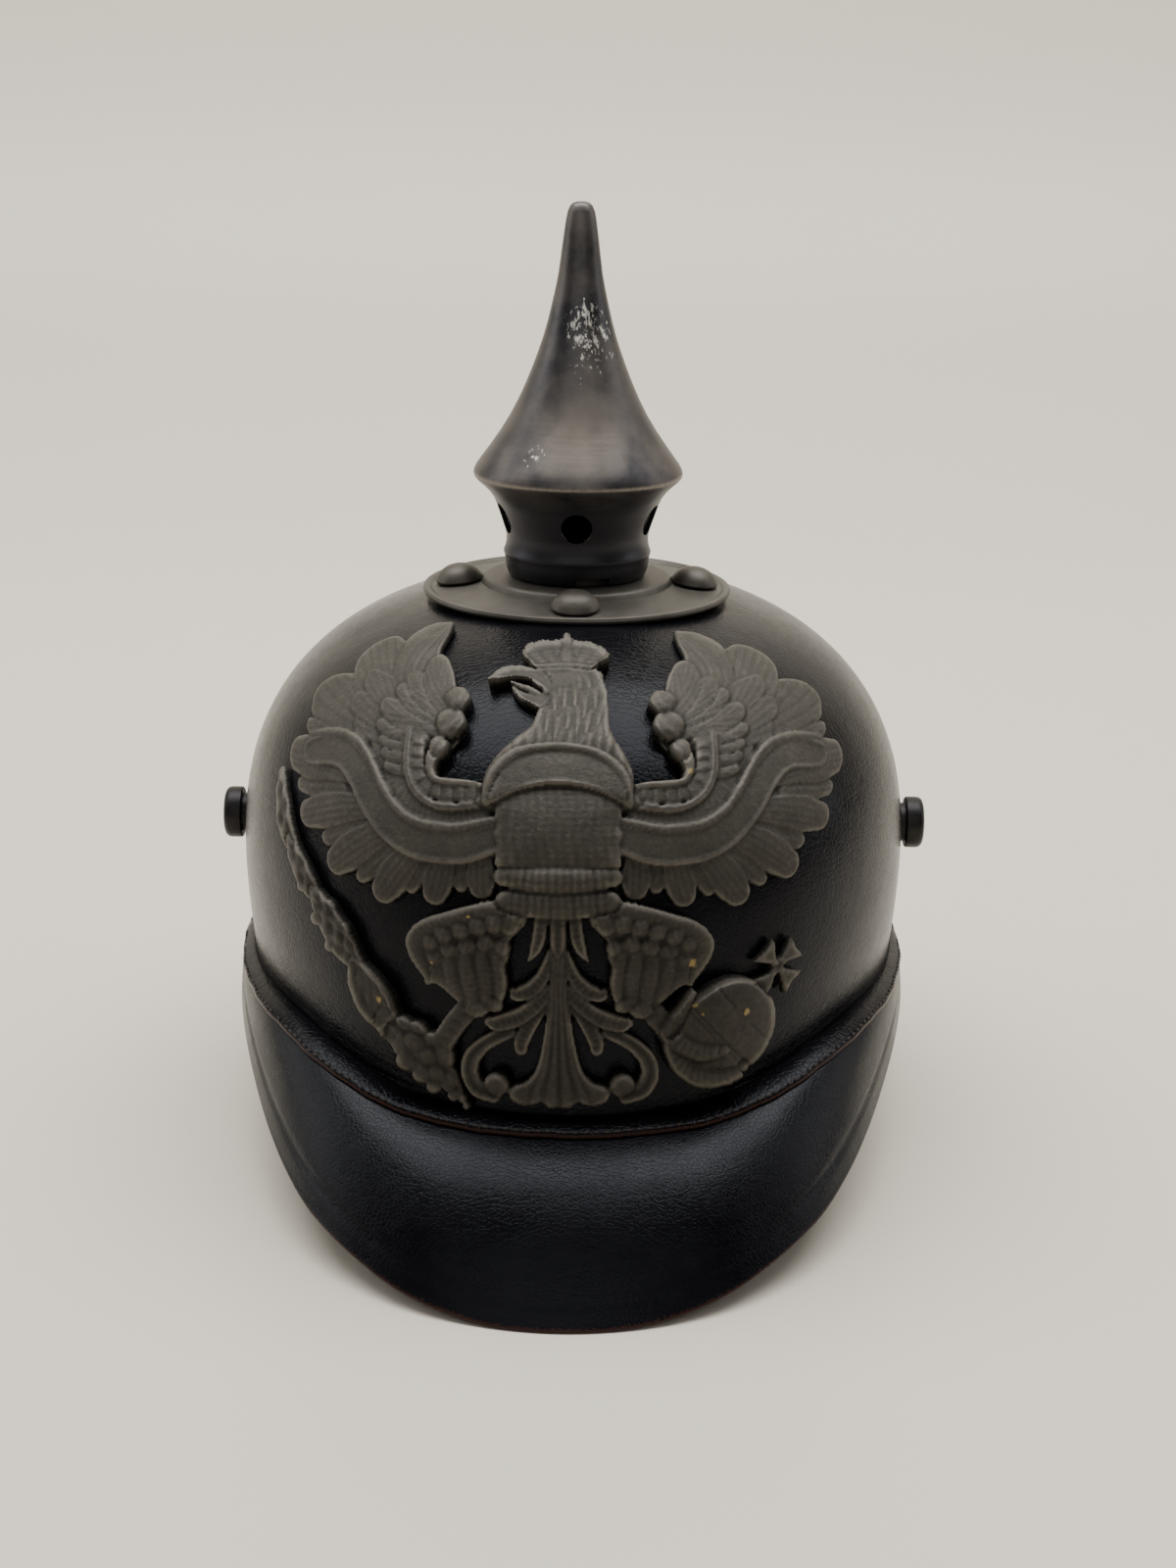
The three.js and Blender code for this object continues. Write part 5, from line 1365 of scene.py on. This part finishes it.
# Rear spine: a plain strip down the back seam with two rivet heads.
spineSettings = {
    "half": 5.4, "low": 40.6, "high": 166.0, "top": 1.6, "back": 0.55, "endRound": 3.0, "endClose": 0.2,
    "rows": 90,
    "loop": ((-1, 0.5), (-0.97, 0.15), (-0.9, 0), (-0.8, 0.25), (-0.4, 0.25), (0, 0.25), (0.4, 0.25),
             (0.8, 0.25), (0.9, 0), (0.97, 0.15), (1, 0.5)),  # share of the half width, depth below the top
    "rivets": (47.5, 159.0), "rivetRadius": 3.2, "rivetHigh": 1.7, "rivetSink": 0.3, "rivetSides": 24,
    "rivetRings": 12,
}


def makeSpine():
    s = spineSettings

    def spot(u, v, h):  # the skull's front, turned to the back
        x, y, z = onSkull(np.float64(u), np.float64(v), np.float64(h))
        return (x, -y, z)

    loop = [(across, s["top"] - depth) for across, depth in s["loop"]]
    loop = [(-1, s["back"])] + loop + [(1, s["back"]), (0, s["back"]), (-1, s["back"])]

    def place(x, y):
        across, h = loop[round(y * (len(loop) - 1))]
        row = round(x * s["rows"])
        share = np.clip((row - 1) / (s["rows"] - 2), 0, 1)
        v = s["low"] + (s["high"] - s["low"]) * share
        fromEnd = min(v - s["low"], s["high"] - v)
        half = s["half"] * math.sqrt(max(0.05, 1 - (1 - min(1, fromEnd / s["endRound"])) ** 2))
        if row in (0, s["rows"]):
            h, across = s["back"] + s["endClose"], 0
        return spot(across * half, v, h), 0.0

    bm = wrappedGrid(s["rows"], len(loop) - 1, place)
    for v in s["rivets"]:
        base = Vector(spot(0, v, s["top"] - s["rivetSink"])) * mm
        up = Vector(spot(0, v, s["top"] + 1)) * mm - base
        seat = Matrix.Translation(base) @ up.to_track_quat("Z", "Y").to_matrix().to_4x4()
        squash = Matrix.Diagonal((1, 1, s["rivetHigh"] / s["rivetRadius"], 1))
        head = bmesh.ops.create_uvsphere(bm, u_segments=s["rivetSides"], v_segments=s["rivetRings"],
                                         radius=s["rivetRadius"] * mm, matrix=seat @ squash)
        low = [vert for vert in head["verts"] if (vert.co - base).dot(up) < -1e-6]
        bmesh.ops.delete(bm, geom=low, context="VERTS")
    bmesh.ops.holes_fill(bm, edges=[edge for edge in bm.edges if edge.is_boundary], sides=0)
    return toObject(bm, "back_spine", [finishes["stud"]])


finishPiece(makeSpine(), "helmet", "dark_steel", "rear_spine")
print("pieces made")


# Camera at the photo's viewing angle; the frame is 1200 by 1600 and the lens is for its long side.
cameraSettings = {"distance": 659.5, "height": 285.3, "around": 0.62, "down": 16.87, "pan": -0.322,
                  "roll": 0.8, "lens": 58.5, "sensor": 36.0, "clipStart": 0.01}


def makeCamera():
    s = cameraSettings
    around, down, roll = (math.radians(s[key]) for key in ("around", "down", "roll"))
    forward = Vector((-math.sin(around) * math.cos(down), math.cos(around) * math.cos(down), -math.sin(down)))
    forward.rotate(Matrix.Rotation(math.radians(s["pan"]), 3, "Z"))
    right = forward.cross(Vector((0, 0, 1))).normalized()
    up = right.cross(forward)
    level = right * math.cos(roll) + up * math.sin(roll)
    upright = -right * math.sin(roll) + up * math.cos(roll)
    camera = bpy.data.objects.new("camera", bpy.data.cameras.new("camera"))
    camera.data.lens = s["lens"]
    camera.data.sensor_width = s["sensor"]
    camera.data.clip_start = s["clipStart"]
    turn = Matrix((level, upright, -forward)).transposed().to_4x4()
    place = Vector((s["distance"] * math.sin(around), -s["distance"] * math.cos(around), s["height"])) * mm
    camera.matrix_world = Matrix.Translation(place) @ turn
    bpy.context.scene.collection.objects.link(camera)
    bpy.context.scene.camera = camera


makeCamera()

# Plain pale floor that curves up into a backdrop, and soft studio light.
stageSettings = {"half": 2.2, "front": -2.0, "bend": 0.75, "radius": 0.35, "bendSteps": 14, "top": 2.2,
                 "colour": "#e2dacb", "world": "#9a9a9e", "worldPower": 0.1}
lights = [  # name, place, aim, size across and up, power in watts
    ("overhead", (0.0, 0.2, 1.5), (0, 0.1, 0.1), (2.2, 1.1), 49),
    ("left", (-1.3, 0.2, 0.65), (0, 0, 0.1), (0.7, 1.0), 5),
    ("right", (1.3, 0.2, 0.65), (0, 0, 0.1), (0.7, 1.0), 3.5),
    ("front", (-0.1, -1.6, 0.9), (0, 0, 0.15), (2.2, 1.0), 6.5),
]


# Pale laminate: pressed smooth, a soft sheen that varies a little.
def paleLaminate(name, colour):
    material, tree, shader, coords = newMaterial(name)
    haze = addNode(tree, "TexNoise", "Fac", {"Vector": coords, "Scale": perMm(60), "Detail": 3.0})
    rough = addNode(tree, "MapRange", "Result", {"Value": haze, "To Min": 0.32, "To Max": 0.42})
    setInputs(tree, shader, {"Base Color": toLinear(colour), "Roughness": rough})
    return material


def makeStage():
    s = stageSettings
    bm = bmesh.new()
    curve = [(s["front"], 0.0), (s["bend"], 0.0)]
    for angle in np.linspace(0.1, math.pi / 2, s["bendSteps"]):
        curve.append((s["bend"] + s["radius"] * math.sin(angle), s["radius"] * (1 - math.cos(angle))))
    curve.append((s["bend"] + s["radius"], s["top"]))
    verts = [bm.verts.new((-s["half"], y, z)) for y, z in curve]
    edges = [bm.edges.new(pair) for pair in zip(verts, verts[1:])]
    swept = bmesh.ops.extrude_edge_only(bm, edges=edges)["geom"]
    far = [item for item in swept if isinstance(item, bmesh.types.BMVert)]
    bmesh.ops.translate(bm, vec=(2 * s["half"], 0, 0), verts=far)
    floor = toObject(bm, "floor", [paleLaminate("pale laminate", s["colour"])])
    floor.data.shade_smooth()
    world = bpy.context.scene.world or bpy.data.worlds.new("world")
    bpy.context.scene.world = world
    world.use_nodes = True
    background = world.node_tree.nodes["Background"]
    background.inputs["Color"].default_value = toLinear(s["world"])
    background.inputs["Strength"].default_value = s["worldPower"]
    for name, place, aim, size, power in lights:
        data = bpy.data.lights.new(name, "AREA")
        data.shape = "RECTANGLE"
        data.size, data.size_y = size
        data.energy = power
        light = bpy.data.objects.new(name, data)
        light.location = place
        light.rotation_euler = (Vector(aim) - Vector(place)).to_track_quat("-Z", "Y").to_euler()
        bpy.context.scene.collection.objects.link(light)


makeStage()
print("stage and camera made")
